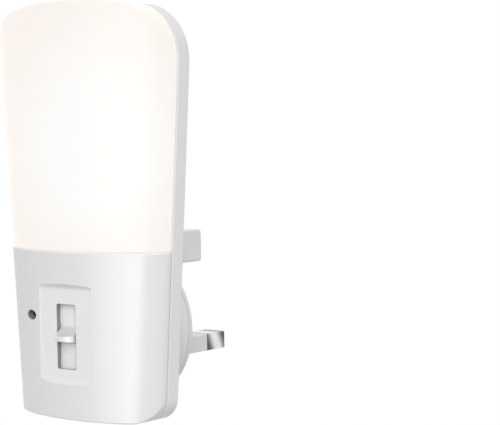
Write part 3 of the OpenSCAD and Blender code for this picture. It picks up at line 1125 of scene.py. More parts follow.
@dataclass
class Thumb:
    """Thumb piece of the slider, with its stem and the strip behind the slot."""

    form: CaseForm
    housing: FrontHousing
    width: float = 5.8
    height: float = 3.6
    rise: float = 0.45
    out: float = 1.7
    bulge: float = 1.0
    bulge_steps: int = 18
    taper: float = 0.35
    lip: float = 1.25
    ledge: float = 0.15
    scoop: float = 5.0
    scoop_steps: int = 12
    edge_round: float = 0.12
    edge_angle: float = 45.0
    strip_size: Pair = (8.4, 24.4)
    strip_thickness: float = 0.8
    strip_gap: float = 0.2
    pad_size: Pair = (6.4, 6.0)
    pad_thickness: float = 1.1
    pad_overlap: float = 0.1
    weld: float = 0.004
    spare: float = 0.3

    def _profile(self, front: float, strip_front: float, root: float, low: float) -> bpy.types.Object:
        """The thumb piece's side view as a solid, with the scoop from its lip to the strip.

        Args:
            front: Depth of its front.
            strip_front: Depth of the strip's front.
            root: Depth at which it ends, inside the strip.
            low: Height of its underside.

        Returns:
            The solid.
        """
        lip_top = low + self.taper + self.lip
        foot, head = Vector((front + self.ledge, lip_top)), Vector((strip_front, low + self.height))
        half_chord = (head - foot) / 2
        away = Vector((-half_chord.y, half_chord.x)).normalized()
        centre = foot + half_chord + away * math.sqrt(self.scoop**2 - half_chord.length**2)
        turn = 2 * math.degrees(math.asin(half_chord.length / self.scoop))
        sketch = Sketch("slider_thumb", (root, low), Plane.SIDE)
        sketch.line((front, low + self.taper)).line((front, lip_top)).line(foot)
        sketch.arc(centre, turn, self.scoop_steps).line((root, low + self.height))
        return sketch.solid(-self.width / 2, self.width / 2)

    def _plan(self, front: float, back: float, low: float) -> bpy.types.Object:
        """A block with the lip's curved front, wider than the thumb piece on both sides.

        Args:
            front: Depth of its front.
            back: Depth of its back.
            low: Height of the thumb piece's underside.

        Returns:
            The block.
        """
        half = self.width / 2
        radius = (half**2 + self.bulge**2) / (2 * self.bulge)
        reach = half + self.spare
        turn = 2 * math.asin(reach / radius)
        plan = Sketch("plan", (-reach, front + radius * (1 - math.cos(turn / 2))), Plane.PLAN)
        plan.arc((0, front + radius), math.degrees(turn), self.bulge_steps)
        plan.line((reach, back)).line((-reach, back))
        return plan.solid(low - CUT, low + self.height + CUT)

    def build(self) -> bpy.types.Object:
        """Models the thumb piece.

        Returns:
            The piece.
        """
        housing = self.housing
        front = housing.panel_face - self.out
        strip_front = housing.panel_back + self.strip_gap
        strip_back = strip_front + self.strip_thickness
        middle = housing.slot_middle
        low = middle + self.rise - self.height / 2
        thumb = self._profile(front, strip_front, (strip_front + strip_back) / 2, low)
        Bench.combine(thumb, self._plan(front, strip_back + CUT, low), Join.SHARE)
        Bench.tidy(thumb, self.weld)
        Bench.soften(
            thumb,
            lambda edge: dihedral(edge) > self.edge_angle and not spans(edge, DEPTH, strip_front - NEAR, 0),
            self.edge_round,
            steps=2,
        )
        Bench.tidy(thumb, self.weld)
        strip = Bench.block(self.strip_size, strip_front, strip_back, (0, middle))
        Bench.combine(thumb, strip, Join.ADD)
        pad_front, pad_back = strip_back - self.pad_overlap, strip_back + self.pad_thickness
        Bench.combine(thumb, Bench.block(self.pad_size, pad_front, pad_back, (0, middle)), Join.ADD)
        Bench.tidy(thumb, self.weld)
        self.form.put(thumb)
        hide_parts("slider_knob")
        return thumb


# ------------------------------------------------------------------ finishes


class Wire:
    """A shader value that takes part in Python arithmetic."""

    def __init__(self, tree: "Tree", socket: bpy.types.NodeSocket) -> None:
        """Wraps an output socket of a tree."""
        self.tree = tree
        self.socket = socket

    def _math(self, operation: str, *values: "Wire | float") -> "Wire":
        """Adds a Math node on some values."""
        return self.tree.add("ShaderNodeMath", {"operation": operation}, dict(enumerate(values)))

    def __add__(self, other: "Wire | float") -> "Wire":
        """Sum."""
        return self._math("ADD", self, other)

    def __radd__(self, other: float) -> "Wire":
        """Sum with a number on the left."""
        return self._math("ADD", other, self)

    def __sub__(self, other: "Wire | float") -> "Wire":
        """Difference."""
        return self._math("SUBTRACT", self, other)

    def __rsub__(self, other: float) -> "Wire":
        """Difference with a number on the left."""
        return self._math("SUBTRACT", other, self)

    def __mul__(self, other: "Wire | float") -> "Wire":
        """Product."""
        return self._math("MULTIPLY", self, other)

    def __rmul__(self, other: float) -> "Wire":
        """Product with a number on the left."""
        return self._math("MULTIPLY", other, self)

    def __truediv__(self, other: "Wire | float") -> "Wire":
        """Quotient."""
        return self._math("DIVIDE", self, other)

    def __rtruediv__(self, other: float) -> "Wire":
        """Quotient with a number on the left."""
        return self._math("DIVIDE", other, self)

    def __abs__(self) -> "Wire":
        """Absolute value."""
        return self._math("ABSOLUTE", self)

    def __gt__(self, other: "Wire | float") -> "Wire":
        """1 where the value is greater, else 0."""
        return self._math("GREATER_THAN", self, other)

    def __mod__(self, other: "Wire | float") -> "Wire":
        """Remainder, never negative."""
        return self._math("FLOORED_MODULO", self, other)

    def root(self) -> "Wire":
        """Square root."""
        return self._math("SQRT", self)

    def step(self, low: float, high: float) -> "Wire":
        """Smooth step.

        Args:
            low: The value up to which it is 0.
            high: The value from which it is 1.

        Returns:
            The stepped value.
        """
        settings = {"interpolation_type": "SMOOTHSTEP"}
        values = {"Value": self, "From Min": low, "From Max": high, "To Min": 0.0, "To Max": 1.0}
        return self.tree.add("ShaderNodeMapRange", settings, values)


class Tree:
    """Nodes of one material or of the surroundings."""

    def __init__(self, owner: bpy.types.Material | bpy.types.World) -> None:
        """Clears the nodes of a material or a world.

        Args:
            owner: The material or the world.
        """
        owner.use_nodes = True
        self.owner = owner
        self.nodes = owner.node_tree.nodes
        self.links = owner.node_tree.links
        self.nodes.clear()

    def add(
        self,
        kind: str,
        settings: dict[str, object] | None = None,
        values: dict[str | int, object] | None = None,
        output: str | int = 0,
    ) -> Wire | None:
        """Adds a node.

        Args:
            kind: The node's type.
            settings: Its own settings, set first.
            values: Values or links of its input sockets, by name or number.
            output: The output that is returned.

        Returns:
            That output, or None for a node without any.
        """
        node = self.nodes.new(kind)
        for name, value in (settings or {}).items():
            setattr(node, name, value)
        for name, value in (values or {}).items():
            if isinstance(value, Wire):
                self.links.new(value.socket, node.inputs[name])
            else:
                node.inputs[name].default_value = value
        return Wire(self, node.outputs[output]) if len(node.outputs) else None

    def place(self, squeeze: Triple = (1.0, 1.0, 1.0)) -> Wire:
        """Place on the object, in millimetres.

        Args:
            squeeze: How much a pattern is squeezed along each axis.

        Returns:
            The place.
        """
        coordinates = self.add("ShaderNodeTexCoord", output="Object")
        scale = tuple(value / MM for value in squeeze)
        return self.add("ShaderNodeMapping", values={"Vector": coordinates, "Scale": scale})

    def noise(self, size: float, detail: float = 2.0, squeeze: Triple = (1.0, 1.0, 1.0)) -> Wire:
        """Noise between 0 and 1, with lumps of a size in millimetres and finer layers of detail."""
        values = {"Vector": self.place(squeeze), "Scale": 1 / size, "Detail": detail, "Roughness": 0.55}
        return self.add("ShaderNodeTexNoise", {"noise_dimensions": "3D"}, values)

    def cells(self, size: float) -> Wire:
        """Distance to the nearest of some points scattered at a distance, in parts of that distance."""
        values = {"Vector": self.place(), "Scale": 1 / size}
        return self.add("ShaderNodeTexVoronoi", {"feature": "F1"}, values)

    def axis(self, name: str, middle: float = 0.0) -> Wire:
        """The X, Y or Z of the place, in millimetres from a middle."""
        return self.add("ShaderNodeSeparateXYZ", values={0: self.place()}, output=name) - middle

    def facing(self, name: str) -> Wire:
        """The X, Y or Z of the surface's normal."""
        normal = self.add("ShaderNodeTexCoord", output="Normal")
        return self.add("ShaderNodeSeparateXYZ", values={0: normal}, output=name)

    def blend(self, share: Wire | float, low: Wire | tuple, high: Wire | tuple) -> Wire:
        """A mix of two colours, with a share of the second one."""
        values = {0: share, 6: low, 7: high}
        return self.add("ShaderNodeMix", {"data_type": "RGBA"}, values, output=2)

    def shade(self, colour: Colour, amount: Wire) -> Wire:
        """A colour multiplied by an amount."""
        grey = self.add("ShaderNodeCombineXYZ", values={0: amount, 1: amount, 2: amount})
        return self.add("ShaderNodeVectorMath", {"operation": "MULTIPLY"}, {0: colour, 1: grey})

    def relief(self, height: Wire, depth: float) -> Wire:
        """Bumpy normal of a height between 0 and 1, with its full depth in millimetres."""
        return self.add("ShaderNodeBump", values={"Height": height, "Distance": depth * MM, "Strength": 1.0})

    def finish(self, values: dict[str, object]) -> bpy.types.Material:
        """Adds the surface shader and the output.

        Args:
            values: Values or links of the shader's sockets.

        Returns:
            The material.
        """
        surface = self.add("ShaderNodeBsdfPrincipled", values=values)
        self.add("ShaderNodeOutputMaterial", values={"Surface": surface})
        return self.owner


def opaque(colour: Colour) -> tuple[float, ...]:
    """A colour with alpha 1."""
    return (*colour, 1.0)


@dataclass(frozen=True)
class PaintedLightZone:
    """A box of the object, in millimetres, in which painted shade or painted light makes a finish darker or
    lighter.
    """

    low: Triple
    high: Triple
    tone: float
    soft: Triple = (0.04, 0.04, 0.04)

    def change(self, tree: Tree) -> Wire:
        """What the finish is multiplied by.

        Args:
            tree: The finish's tree.

        Returns:
            1 outside the box, and its tone inside.
        """
        inside: Wire | float = 1.0
        for axis, low, high, soft in zip("XYZ", self.low, self.high, self.soft):
            place = tree.axis(axis)
            inside = place.step(low - soft, low) * (1.0 - place.step(high, high + soft)) * inside
        return 1.0 - (1.0 - self.tone) * inside


@dataclass(frozen=True)
class Finish:
    """A finish, and the name of the material slot that it belongs to."""

    name: str
    shared_slot: str = field(default="", kw_only=True)

    @property
    def slot(self) -> str:
        """Name of the slot: the finish's own, unless it shares another one's."""
        return self.shared_slot or self.name

    def make(self) -> bpy.types.Material:
        """Builds the material."""
        raise NotImplementedError


@dataclass(frozen=True)
class MouldedPlastic(Finish):
    """Plastic with the fine grain of a spark-eroded mould and faint flow marks, and where given, painted
    shade on faces that point up and painted light and shade in boxes.
    """

    colour: Colour
    roughness: float = 0.30
    specular: float = 0.5
    cloud: float = 9.0
    flow: float = 1.4
    flow_squeeze: Triple = (1.0, 1.0, 0.35)
    grain: float = 0.16
    depth: float = 0.003
    mottle: float = 0.03
    coat: float = 0.0
    coat_roughness: float = 0.12
    upward_painted_shade: float = 1.0
    upward_painted_shade_band: Pair = (0.15, 0.75)
    painted_light_zones: tuple[PaintedLightZone, ...] = ()

    def make(self) -> bpy.types.Material:
        """Builds the material.

        Returns:
            The material.
        """
        tree = Tree(bpy.data.materials.new(self.name))
        cloud = tree.noise(self.cloud, 3.0)
        flow = tree.noise(self.flow, 2.0, self.flow_squeeze)
        grain = tree.noise(self.grain, 1.0)
        tone = 1.0 - self.mottle * (1.0 - (cloud * 0.7 + flow * 0.3))
        # painted shade on faces that point up, then painted light and shade in the zones
        if self.upward_painted_shade != 1.0:
            tone = tone * (1.0 - (1.0 - self.upward_painted_shade) * tree.facing("Z").step(*self.upward_painted_shade_band))
        for zone in self.painted_light_zones:
            tone = tone * zone.change(tree)
        return tree.finish({
            "Base Color": tree.shade(self.colour, tone),
            "Roughness": self.roughness + 0.10 * (cloud - 0.5) + 0.06 * (grain - 0.5),
            "Specular IOR Level": self.specular,
            "Coat Weight": self.coat,
            "Coat Roughness": self.coat_roughness,
            "Normal": tree.relief(grain + flow * 0.8, self.depth),
        })


@dataclass(frozen=True)
class OpalPlastic(Finish):
    """Milky plastic that glows evenly, a little warmer and dimmer towards its edges."""

    colour: Colour
    middle_glow: Colour
    edge_glow: Colour
    strength: float
    centre: Pair = (7.5, 43.0)
    reach: Pair = (30.0, 32.0)
    fade: Pair = (0.32, 1.12)
    cloud: float = 12.0
    grain: float = 0.18
    depth: float = 0.002
    roughness: float = 0.40
    specular: float = 0.2

    def make(self) -> bpy.types.Material:
        """Builds the material.

        Returns:
            The material.
        """
        tree = Tree(bpy.data.materials.new(self.name))
        cloud = tree.noise(self.cloud, 2.0)
        grain = tree.noise(self.grain, 1.0)
        across = tree.axis("X", self.centre[0]) / self.reach[0]
        upward = tree.axis("Z", self.centre[1]) / self.reach[1]
        far = (across * across + upward * upward).root() + 0.12 * (cloud - 0.5)
        glow = tree.blend(far.step(*self.fade), opaque(self.middle_glow), opaque(self.edge_glow))
        return tree.finish({
            "Base Color": tree.shade(self.colour, 0.985 + 0.03 * cloud),
            "Roughness": self.roughness + 0.08 * (grain - 0.5),
            "Specular IOR Level": self.specular,
            "Emission Color": glow,
            "Emission Strength": self.strength,
            "Normal": tree.relief(grain, self.depth),
        })


@dataclass(frozen=True)
class PaintedReflectionBand:
    """A painted reflection: a bright, slanting band across a pin, with painted shade past the band's reach.
    """

    middle: float
    reach: float
    dark: float
    slant: float = 0.45
    height: float = -4.6

    def change(self, tree: Tree, cloud: Wire) -> Wire:
        """What the metal's colour is multiplied by to paint the reflection.

        Args:
            tree: The metal's tree.
            cloud: Noise that makes the band's edges uneven.

        Returns:
            1 in the middle of the band, and the dark tone past its reach.
        """
        slanted = tree.axis("Y", self.middle) + self.slant * tree.axis("Z", self.height)
        far = abs(slanted) + 0.8 * (cloud - 0.5)
        return 1.0 - (1.0 - self.dark) * far.step(0.1 * self.reach, self.reach)


@dataclass(frozen=True)
class PlatedMetal(Finish):
    """Metal with fine marks drawn along one axis, small pits, a slightly uneven plating and, where given, a
    painted reflection band.
    """

    colour: Colour
    roughness: float
    drawn: Triple = (1.0, 0.06, 1.0)
    streak: float = 0.14
    cloud: float = 3.5
    pit_pitch: float = 0.7
    pit_size: Pair = (0.02, 0.10)
    marks: float = 0.10
    depth: float = 0.0012
    band: PaintedReflectionBand | None = None

    def make(self) -> bpy.types.Material:
        """Builds the material.

        Returns:
            The material.
        """
        tree = Tree(bpy.data.materials.new(self.name))
        streaks = tree.noise(self.streak, 3.0, self.drawn)
        cloud = tree.noise(self.cloud, 3.0)
        pits = 1.0 - tree.cells(self.pit_pitch).step(*self.pit_size)
        tone = 0.93 + 0.10 * cloud + 0.05 * (streaks - 0.5) - 0.12 * pits
        # painted reflection: a bright band along the pin, and painted shade past it
        if self.band:
            tone = tone * self.band.change(tree, cloud)
        return tree.finish({
            "Base Color": tree.shade(self.colour, tone),
            "Metallic": 1.0,
            "Roughness": self.roughness + self.marks * (streaks - 0.5) + 0.08 * (cloud - 0.5),
            "Normal": tree.relief(streaks - 0.5 * pits, self.depth),
        })


@dataclass(frozen=True)
class BoardLaminate(Finish):
    """Glass-fibre board: a woven core, copper tracks under lacquer and lacquer of one colour."""

    lacquer: Colour
    track: Colour
    pitch: float = 2.4
    column_pitch: float = 1.7
    fields: float = 4.2
    weave: float = 0.35
    weave_squeeze: float = 0.25
    core: Colour = (0.02, 0.02, 0.02)
    depth: float = 0.03
    coat: float = 0.35
    coat_roughness: float = 0.15

    def make(self) -> bpy.types.Material:
        """Builds the material.

        Returns:
            The material.
        """
        tree = Tree(bpy.data.materials.new(self.name))
        column_pitch = self.pitch * self.column_pitch
        across = abs(tree.axis("X") % self.pitch / self.pitch - 0.5)
        upward = abs(tree.axis("Z") % column_pitch / column_pitch - 0.5)
        patches = tree.noise(self.fields, 0.0)
        rows = (1.0 - across.step(0.20, 0.24)) * patches.step(0.50, 0.52)
        columns = (1.0 - upward.step(0.28, 0.31)) * (1.0 - patches.step(0.44, 0.46))
        copper = rows + columns
        warp = tree.noise(self.weave, 1.0, (1.0, 1.0, self.weave_squeeze))
        weave = warp + tree.noise(self.weave, 1.0, (self.weave_squeeze, 1.0, 1.0))
        lacquer = tree.blend(copper, opaque(self.lacquer), opaque(self.track))
        return tree.finish({
            "Base Color": tree.blend(0.10 * weave, lacquer, opaque(self.core)),
            "Roughness": 0.30 + 0.10 * weave,
            "Coat Weight": self.coat,
            "Coat Roughness": self.coat_roughness,
            "Normal": tree.relief(copper + 0.15 * weave, self.depth),
        })


@dataclass(frozen=True)
class Sleeving(Finish):
    """Shrunk sleeve of a can, with a pale band down one side and a bare end."""

    colour: Colour
    band: Colour
    end: Colour
    middle: Pair
    end_depth: float
    end_radius: float = 2.3
    end_fade: float = 0.15
    band_start: float = 1.7
    cross: Pair = (0.02, 0.10)
    wrinkle: float = 1.1
    depth: float = 0.02

    def make(self) -> bpy.types.Material:
        """Builds the material.

        Returns:
            The material.
        """
        tree = Tree(bpy.data.materials.new(self.name))
        across = tree.axis("X", self.middle[0])
        upward = tree.axis("Z", self.middle[1])
        out = (across * across + upward * upward).root()
        within = 1.0 - out.step(self.end_radius, self.end_radius + self.end_fade)
        is_end = within * (tree.axis("Y") > self.end_depth)
        stripe = (across > self.band_start) * (1.0 - is_end)
        cross = 1.0 - (abs(across) * abs(upward)).step(*self.cross)
        wrinkle = tree.noise(self.wrinkle, 2.0, (1.0, 0.4, 1.0))
        sleeve = tree.blend(stripe, opaque(self.colour), opaque(self.band))
        return tree.finish({
            "Base Color": tree.blend(is_end * (1.0 - 0.5 * cross), sleeve, opaque(self.end)),
            "Metallic": is_end,
            "Roughness": 0.26 + 0.12 * wrinkle,
            "Normal": tree.relief(wrinkle - is_end * cross, self.depth),
        })


@dataclass(frozen=True)
class BandedCoat(Finish):
    """Lacquered resistor with painted rings around it and bare wire ends."""

    colour: Colour
    rings: tuple[tuple[float, Colour], ...]
    ends: Pair
    ring_width: float = 0.42
    ring_fade: float = 0.04
    wire: Colour = (0.75, 0.73, 0.70)
    lump: float = 0.9
    depth: float = 0.03

    def make(self) -> bpy.types.Material:
        """Builds the material.

        Returns:
            The material.
        """
        tree = Tree(bpy.data.materials.new(self.name))
        height = tree.axis("Z")
        lumps = tree.noise(self.lump, 2.0)
        colour: Wire | tuple[float, ...] = opaque(self.colour)
        for place, ring in self.rings:
            off = abs(height - place + 0.05 * (lumps - 0.5))
            near = 1.0 - off.step(self.ring_width - self.ring_fade, self.ring_width)
            colour = tree.blend(near, colour, opaque(ring))
        low, high = self.ends
        wire = (height > high) + (1.0 - (height > low))
        return tree.finish({
            "Base Color": tree.blend(wire, colour, opaque(self.wire)),
            "Metallic": wire,
            "Roughness": 0.28 + 0.14 * lumps,
            "Coat Weight": 0.4 * (1.0 - wire),
            "Coat Roughness": 0.1,
            "Normal": tree.relief(lumps, self.depth),
        })


@dataclass(frozen=True)
class GlowingGel(Finish):
    """Yellow phosphor gel in the middle of each light source and its pale frame."""

    gel: Colour
    speck: Colour
    frame: Colour
    glow: Colour
    strength: float = 0.6
    speckle: float = 0.12
    lump: float = 0.8
    depth: float = 0.02

    def make(self) -> bpy.types.Material:
        """Builds the material.

        Returns:
            The material.
        """
        tree = Tree(bpy.data.materials.new(self.name))
        speckle = tree.noise(self.speckle, 2.0)
        lumps = tree.noise(self.lump, 1.0)
        gel = abs(tree.facing("Y")).step(0.6, 0.9)
        colour = tree.blend(0.25 * speckle, opaque(self.gel), opaque(self.speck))
        return tree.finish({
            "Base Color": tree.blend(gel, opaque(self.frame), colour),
            "Roughness": 0.22 + 0.2 * lumps,
            "Emission Color": tree.blend(gel, opaque((0.0, 0.0, 0.0)), opaque(self.glow)),
            "Emission Strength": self.strength,
            "Normal": tree.relief(lumps, self.depth),
        })


CASE_WHITE: Colour = (0.87, 0.87, 0.87)


class Finishes:
    """All finishes of the object, and the names of the material slots that they belong to."""

    kinds: tuple[Finish, ...] = (
        MouldedPlastic("white_plastic", CASE_WHITE),
        MouldedPlastic(
            "housing_plastic_painted_light_and_shade",
            CASE_WHITE,
            shared_slot="white_plastic",
            painted_light_zones=(
                # painted shade on the walls of the slot
                PaintedLightZone((-3.4, -23.92, -9.0), (3.4, -22.0, 8.0), 0.34),  # walls of the slot
                # painted light on the slider panel
                PaintedLightZone((-8.4, -24.10, -10.4), (8.4, -23.95, 10.4), 1.07, (0.1, 0.05, 0.3)),  # slider panel
                # painted shade in the sensor hole
                PaintedLightZone((-13.45, -22.95, 2.4), (-9.7, -19.0, 5.5), 0.43, (0.1, 0.1, 0.1)),  # sensor hole
            ),
        ),
        MouldedPlastic(
            "casing_plastic_painted_shade",
            CASE_WHITE,
            shared_slot="white_plastic",
            painted_light_zones=(
                # painted shade in the groove at the parting line
                PaintedLightZone((-30.0, -15.0, -25.0), (30.0, -14.40, 80.0), 0.45),  # groove at the parting line
                # painted shade on the top of the rim
                PaintedLightZone((-30.0, -15.5, 66.0), (30.0, -11.2, 80.0), 0.88, (0.1, 0.8, 5.0)),  # top of the rim
            ),
        ),
        MouldedPlastic(
            "thumb_plastic_painted_light_and_shade",
            # whiter than the case, partly the thumb's own white and partly painted light on the lip's front
            (0.96, 0.96, 0.96),
            roughness=0.24,
            # painted shade: faces that point up, as in the scoop, are darker
            upward_painted_shade=0.76,
            shared_slot="white_plastic",
            painted_light_zones=(
                # painted shadow on the strip under the thumb piece
                PaintedLightZone((-3.0, -23.2, -2.10), (3.0, -22.0, -1.90), 0.55, (0.1, 0.1, 0.12)),  # underside
                # painted shade on the right side of the thumb piece
                PaintedLightZone((2.86, -24.3, -2.2), (3.1, -22.7, 2.2), 0.60, (0.03, 0.9, 0.2)),  # right side
                # painted shade on the left side of the thumb piece
                PaintedLightZone((-3.1, -24.3, -2.2), (-2.86, -22.7, 2.2), 0.60, (0.03, 0.9, 0.2)),  # left side
                # painted shade on the right end of the lip
                PaintedLightZone((2.35, -26.0, -2.2), (3.1, -24.6, -0.1), 0.74, (0.5, 0.1, 0.1)),  # right end of the lip
                # painted shade on the strip's right side, beside the slot's wall
                PaintedLightZone((2.35, -22.80, -13.0), (4.3, -22.5, 13.0), 0.70, (1.5, 0.05, 0.2)),  # strip, right side
            ),
        ),
        MouldedPlastic(
            "sleeve_plastic_painted_highlight",
            (0.78, 0.78, 0.78),
            shared_slot="white_plastic",
            # painted highlight on the end of the sleeve
            painted_light_zones=(PaintedLightZone((-30.0, 9.24, -30.0), (30.0, 9.6, 30.0), 1.2),),  # end of the sleeve
        ),
        MouldedPlastic(
            "plug_plastic_painted_shade",
            (0.82, 0.82, 0.82),
            shared_slot="white_plastic",
            # painted shade in the joint between the plate and the boss
            painted_light_zones=(PaintedLightZone((-30.0, -1.74, -30.0), (30.0, -1.46, 30.0), 0.45),),  # joint with the boss
        ),
        MouldedPlastic("reflector_white", (0.90, 0.90, 0.89), roughness=0.5, grain=0.3),
        MouldedPlastic("black_plastic", (0.030, 0.030, 0.032), 0.42, grain=0.25, depth=0.006, mottle=0.25),
        MouldedPlastic("black_rubber", (0.022, 0.022, 0.023), 0.68, specular=0.3, grain=0.3, depth=0.01),
        MouldedPlastic("phenolic", (0.26, 0.13, 0.055), 0.45, grain=0.4, depth=0.01, mottle=0.35),
        MouldedPlastic("lead_red", (0.62, 0.035, 0.03), 0.35, grain=0.5, depth=0.008, mottle=0.10),
        MouldedPlastic("film_yellow", (0.80, 0.58, 0.10), grain=0.9, depth=0.03, mottle=0.08, coat=0.3),
        MouldedPlastic(
            "varistor_blue", (0.05, 0.16, 0.46), 0.26, grain=1.1, depth=0.05, mottle=0.15, coat=0.5
        ),
        MouldedPlastic("sensor_body", (0.70, 0.72, 0.70), 0.12, grain=0.8, depth=0.01, coat=0.6),
        OpalPlastic("opal_diffuser", (0.20, 0.197, 0.193), (1.0, 0.989, 0.967), (0.965, 0.895, 0.842), 0.788),
        # painted reflection on the pins, with painted shade towards the root and the tip
        PlatedMetal("pin_nickel", (0.80, 0.79, 0.77), 0.20, band=PaintedReflectionBand(12.8, 3.2, 0.14)),
        PlatedMetal("steel", (0.58, 0.58, 0.57), 0.30, drawn=(1.0, 1.0, 0.2)),
        PlatedMetal("strap_brass", (0.80, 0.58, 0.28), 0.26),
        BoardLaminate("driver_laminate", (0.015, 0.11, 0.045), (0.035, 0.20, 0.07)),
        BoardLaminate("led_laminate", (0.78, 0.78, 0.76), (0.70, 0.70, 0.66), pitch=5.0),
        GlowingGel(
            "led_phosphor",
            gel=(0.88, 0.62, 0.10),
            speck=(0.95, 0.80, 0.35),
            frame=(0.85, 0.84, 0.80),
            glow=(1.0, 0.82, 0.50),
        ),
        Sleeving(
            "can_sleeve",
            colour=(0.020, 0.030, 0.075),
            band=(0.55, 0.58, 0.64),
            end=(0.72, 0.72, 0.74),
            middle=(0.0, -7.4),
            end_depth=-5.3,
        ),
        BandedCoat(
            "resistor_coat",
            (0.20, 0.42, 0.46),
            rings=(
                (-11.0, (0.30, 0.10, 0.03)),
                (-9.6, (0.01, 0.01, 0.01)),
                (-8.2, (0.01, 0.01, 0.01)),
                (-6.6, (0.7, 0.5, 0.2)),
            ),
            ends=(-12.4, -5.4),
        ),
    )

    def __init__(self) -> None:
        """Builds every material."""
        self.made = {kind.name: kind.make() for kind in self.kinds}
        self.slots = {kind.name: kind.slot for kind in self.kinds}

    def dress(self, piece: bpy.types.Object, name: str) -> None:
        """Gives a new piece its finish.

        Args:
            piece: The piece.
            name: The finish's name.
        """
        piece.data.materials.clear()
        piece.data.materials.append(self.made[name])

    def dress_nodes(self, nodes: dict[str, bpy.types.Object]) -> None:
        """Gives every node of the frame the finish of its slot.

        Args:
            nodes: The nodes' objects by name.
        """
        for node in nodes.values():
            for holder in node.material_slots:
                holder.material = self.made[holder.material.name.split(".")[0]]


# ------------------------------------------------------------------ studio


def bearing(azimuth: float, elevation: float) -> Vector:
    """Direction of an azimuth, 0 for the front and 90 for the right, and an elevation, in degrees."""
    turn, rise = math.radians(azimuth), math.radians(elevation)
    return Vector((math.sin(turn) * math.cos(rise), -math.cos(turn) * math.cos(rise), math.sin(rise)))


class Reach(Enum):
    """Which part of a surface's shading a lamp gives."""

    ALL = "all"
    MATT = "matt"
    SHEEN = "sheen"


@dataclass(frozen=True)
class Softbox:
    """A soft rectangular lamp aimed at the middle of the object."""

    name: str
    azimuth: float
    elevation: float
    distance: float
    size: Pair
    radiance: float
    reach: Reach = Reach.ALL
    roll: float = 0.0
    aim: Triple = (0.0, -0.012, 0.028)

    def light(self) -> None:
        """Sets up the lamp."""
        away = bearing(self.azimuth, self.elevation)
        Bench.clear()
        bpy.ops.object.light_add(type="AREA", location=Vector(self.aim) + away * self.distance)
        lamp = bpy.context.object
        lamp.name = lamp.data.name = self.name
        turn = away.to_track_quat("Z", "Y").to_matrix() @ Matrix.Rotation(math.radians(self.roll), 3, "Z")
        lamp.rotation_euler = turn.to_euler()
        lamp.data.shape = "RECTANGLE"
        lamp.data.size, lamp.data.size_y = self.size
        lamp.data.energy = self.radiance * math.pi * self.size[0] * self.size[1]
        lamp.visible_camera = False
        lamp.visible_diffuse = self.reach is not Reach.SHEEN
        lamp.visible_glossy = self.reach is not Reach.MATT


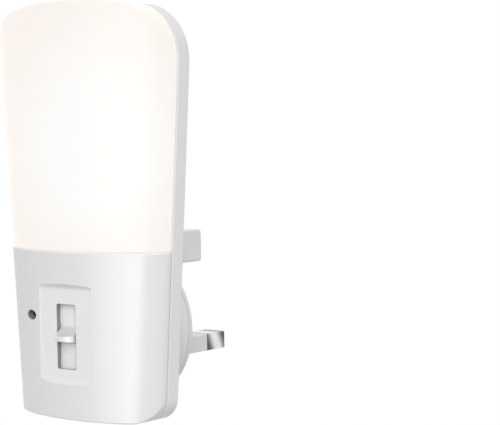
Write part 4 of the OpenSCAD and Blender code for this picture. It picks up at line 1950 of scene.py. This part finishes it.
@dataclass(frozen=True)
class Studio:
    """Floor, white surroundings, lamps and camera."""

    ambient: float = 0.585
    floor_height: float = -0.30
    floor_radius: float = 2.4
    floor_sides: int = 96
    floor_fade: Pair = (0.25, 0.95)
    floor_colour: Colour = (0.80, 0.80, 0.80)
    floor_bounce: float = 0.65
    camera_place: Triple = (0.25726, -0.28408, 0.04653)
    camera_bearing: Triple = (38.0, 3.0, -0.8635)
    camera_lens: float = 114.42
    camera_sensor: float = 36.0
    camera_clip: Pair = (0.01, 20.0)
    lamps: tuple[Softbox, ...] = (
        Softbox("key_lamp", 35.0, 30.0, 1.3, (0.9, 0.9), 3.0),
        Softbox("back_lamp", 130.0, 58.0, 1.3, (0.9, 0.9), 1.0, Reach.MATT),
        Softbox("under_lamp", 45.0, -75.0, 0.29, (0.3, 0.3), 0.2, Reach.MATT),
        Softbox("strip_lamp", 2.5, -3.0, 1.0, (0.82, 1.4), 2.9, Reach.SHEEN, 20.0),
        Softbox("low_lamp", 17.0, -16.0, 1.0, (0.4, 0.3), 3.6, Reach.SHEEN),
    )

    @staticmethod
    def _white_rays(tree: Tree) -> Wire:
        """Picks out the rays that see the surroundings as white.

        Args:
            tree: The tree in which the nodes go.

        Returns:
            1 for camera, glossy and transmission rays, else 0.
        """
        kinds = ("Is Camera Ray", "Is Glossy Ray", "Is Transmission Ray")
        seen, mirrored, through = (tree.add("ShaderNodeLightPath", output=kind) for kind in kinds)
        return (seen + mirrored + through).step(0.0, 0.9)

    def surroundings(self) -> None:
        """Makes the world white, and dimmer as a source of light."""
        world = bpy.data.worlds.new("surroundings")
        bpy.context.scene.world = world
        tree = Tree(world)
        strength = self.ambient + (1.0 - self.ambient) * self._white_rays(tree)
        white = tree.add("ShaderNodeBackground", values={"Color": (1, 1, 1, 1), "Strength": strength})
        tree.add("ShaderNodeOutputWorld", values={"Surface": white})

    def floor(self) -> None:
        """Lays the floor: pale, and running out to white far from the object."""
        Bench.clear()
        bpy.ops.mesh.primitive_circle_add(
            vertices=self.floor_sides,
            radius=self.floor_radius,
            fill_type="NGON",
            location=(0, 0, self.floor_height),
        )
        floor = bpy.context.object
        floor.name = floor.data.name = "floor"
        Bench.bake_place(floor)
        tree = Tree(bpy.data.materials.new("floor_paint"))
        across, deep = tree.axis("X") * MM, tree.axis("Y") * MM
        far = (across * across + deep * deep).root().step(*self.floor_fade)
        seen = self._white_rays(tree)
        tone = (0.99 + 0.02 * tree.noise(60.0)) * (self.floor_bounce + (1.0 - self.floor_bounce) * seen)
        paint = tree.add("ShaderNodeBsdfPrincipled", values={
            "Base Color": tree.shade(self.floor_colour, tone),
            "Roughness": 0.8,
            "Specular IOR Level": 0.1,
        })
        white = tree.add("ShaderNodeEmission", values={"Color": (1, 1, 1, 1), "Strength": 1.0})
        mixed = tree.add("ShaderNodeMixShader", values={0: far * seen, 1: paint, 2: white})
        tree.add("ShaderNodeOutputMaterial", values={"Surface": mixed})
        floor.data.materials.append(tree.owner)

    def camera(self) -> None:
        """Sets up the camera."""
        azimuth, elevation, roll = self.camera_bearing
        Bench.clear()
        bpy.ops.object.camera_add(location=self.camera_place)
        camera = bpy.context.object
        turn = bearing(azimuth, elevation).to_track_quat("Z", "Y").to_matrix()
        camera.rotation_euler = (turn @ Matrix.Rotation(math.radians(roll), 3, "Z")).to_euler()
        camera.data.sensor_width = self.camera_sensor
        camera.data.lens = self.camera_lens
        camera.data.clip_start, camera.data.clip_end = self.camera_clip
        bpy.context.scene.camera = camera

    def set_up(self) -> None:
        """Sets up all of it."""
        bpy.context.scene.view_settings.view_transform = "Standard"
        self.surroundings()
        self.floor()
        for lamp in self.lamps:
            lamp.light()
        self.camera()


def main() -> None:
    """Builds the object."""
    logging.basicConfig(level=logging.INFO)
    for leftover in list(bpy.data.objects):
        bpy.data.objects.remove(leftover)
    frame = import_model()
    finishes = Finishes()
    finishes.dress_nodes(frame["nodes"])
    form = CaseForm.from_frame()
    housing = FrontHousing(form)
    casing = RearCasing(form)
    plug = Plug(form, casing)
    made = [
        (housing.build(), LAMP, "housing_plastic_painted_light_and_shade"),
        (Diffuser(form).build(), LAMP, "opal_diffuser"),
        (casing.build(), LAMP, "casing_plastic_painted_shade"),
        (plug.plate(), LAMP, "plug_plastic_painted_shade"),
        (plug.earth(), LAMP, "white_plastic"),
        (plug.blade(Pole.LIVE), LAMP, "pin_nickel"),
        (plug.blade(Pole.NEUTRAL), LAMP, "pin_nickel"),
        (plug.sleeve(Pole.LIVE), LAMP, "sleeve_plastic_painted_highlight"),
        (plug.sleeve(Pole.NEUTRAL), LAMP, "sleeve_plastic_painted_highlight"),
        (Thumb(form, housing).build(), SLIDER, "thumb_plastic_painted_light_and_shade"),
    ]
    for piece, body, finish in made:
        finishes.dress(piece, finish)
        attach(piece, body)
        LOG.info("%s: %d faces on %s", piece.name, len(piece.data.polygons), body)
    Studio().set_up()


if __name__ == "__main__":
    main()
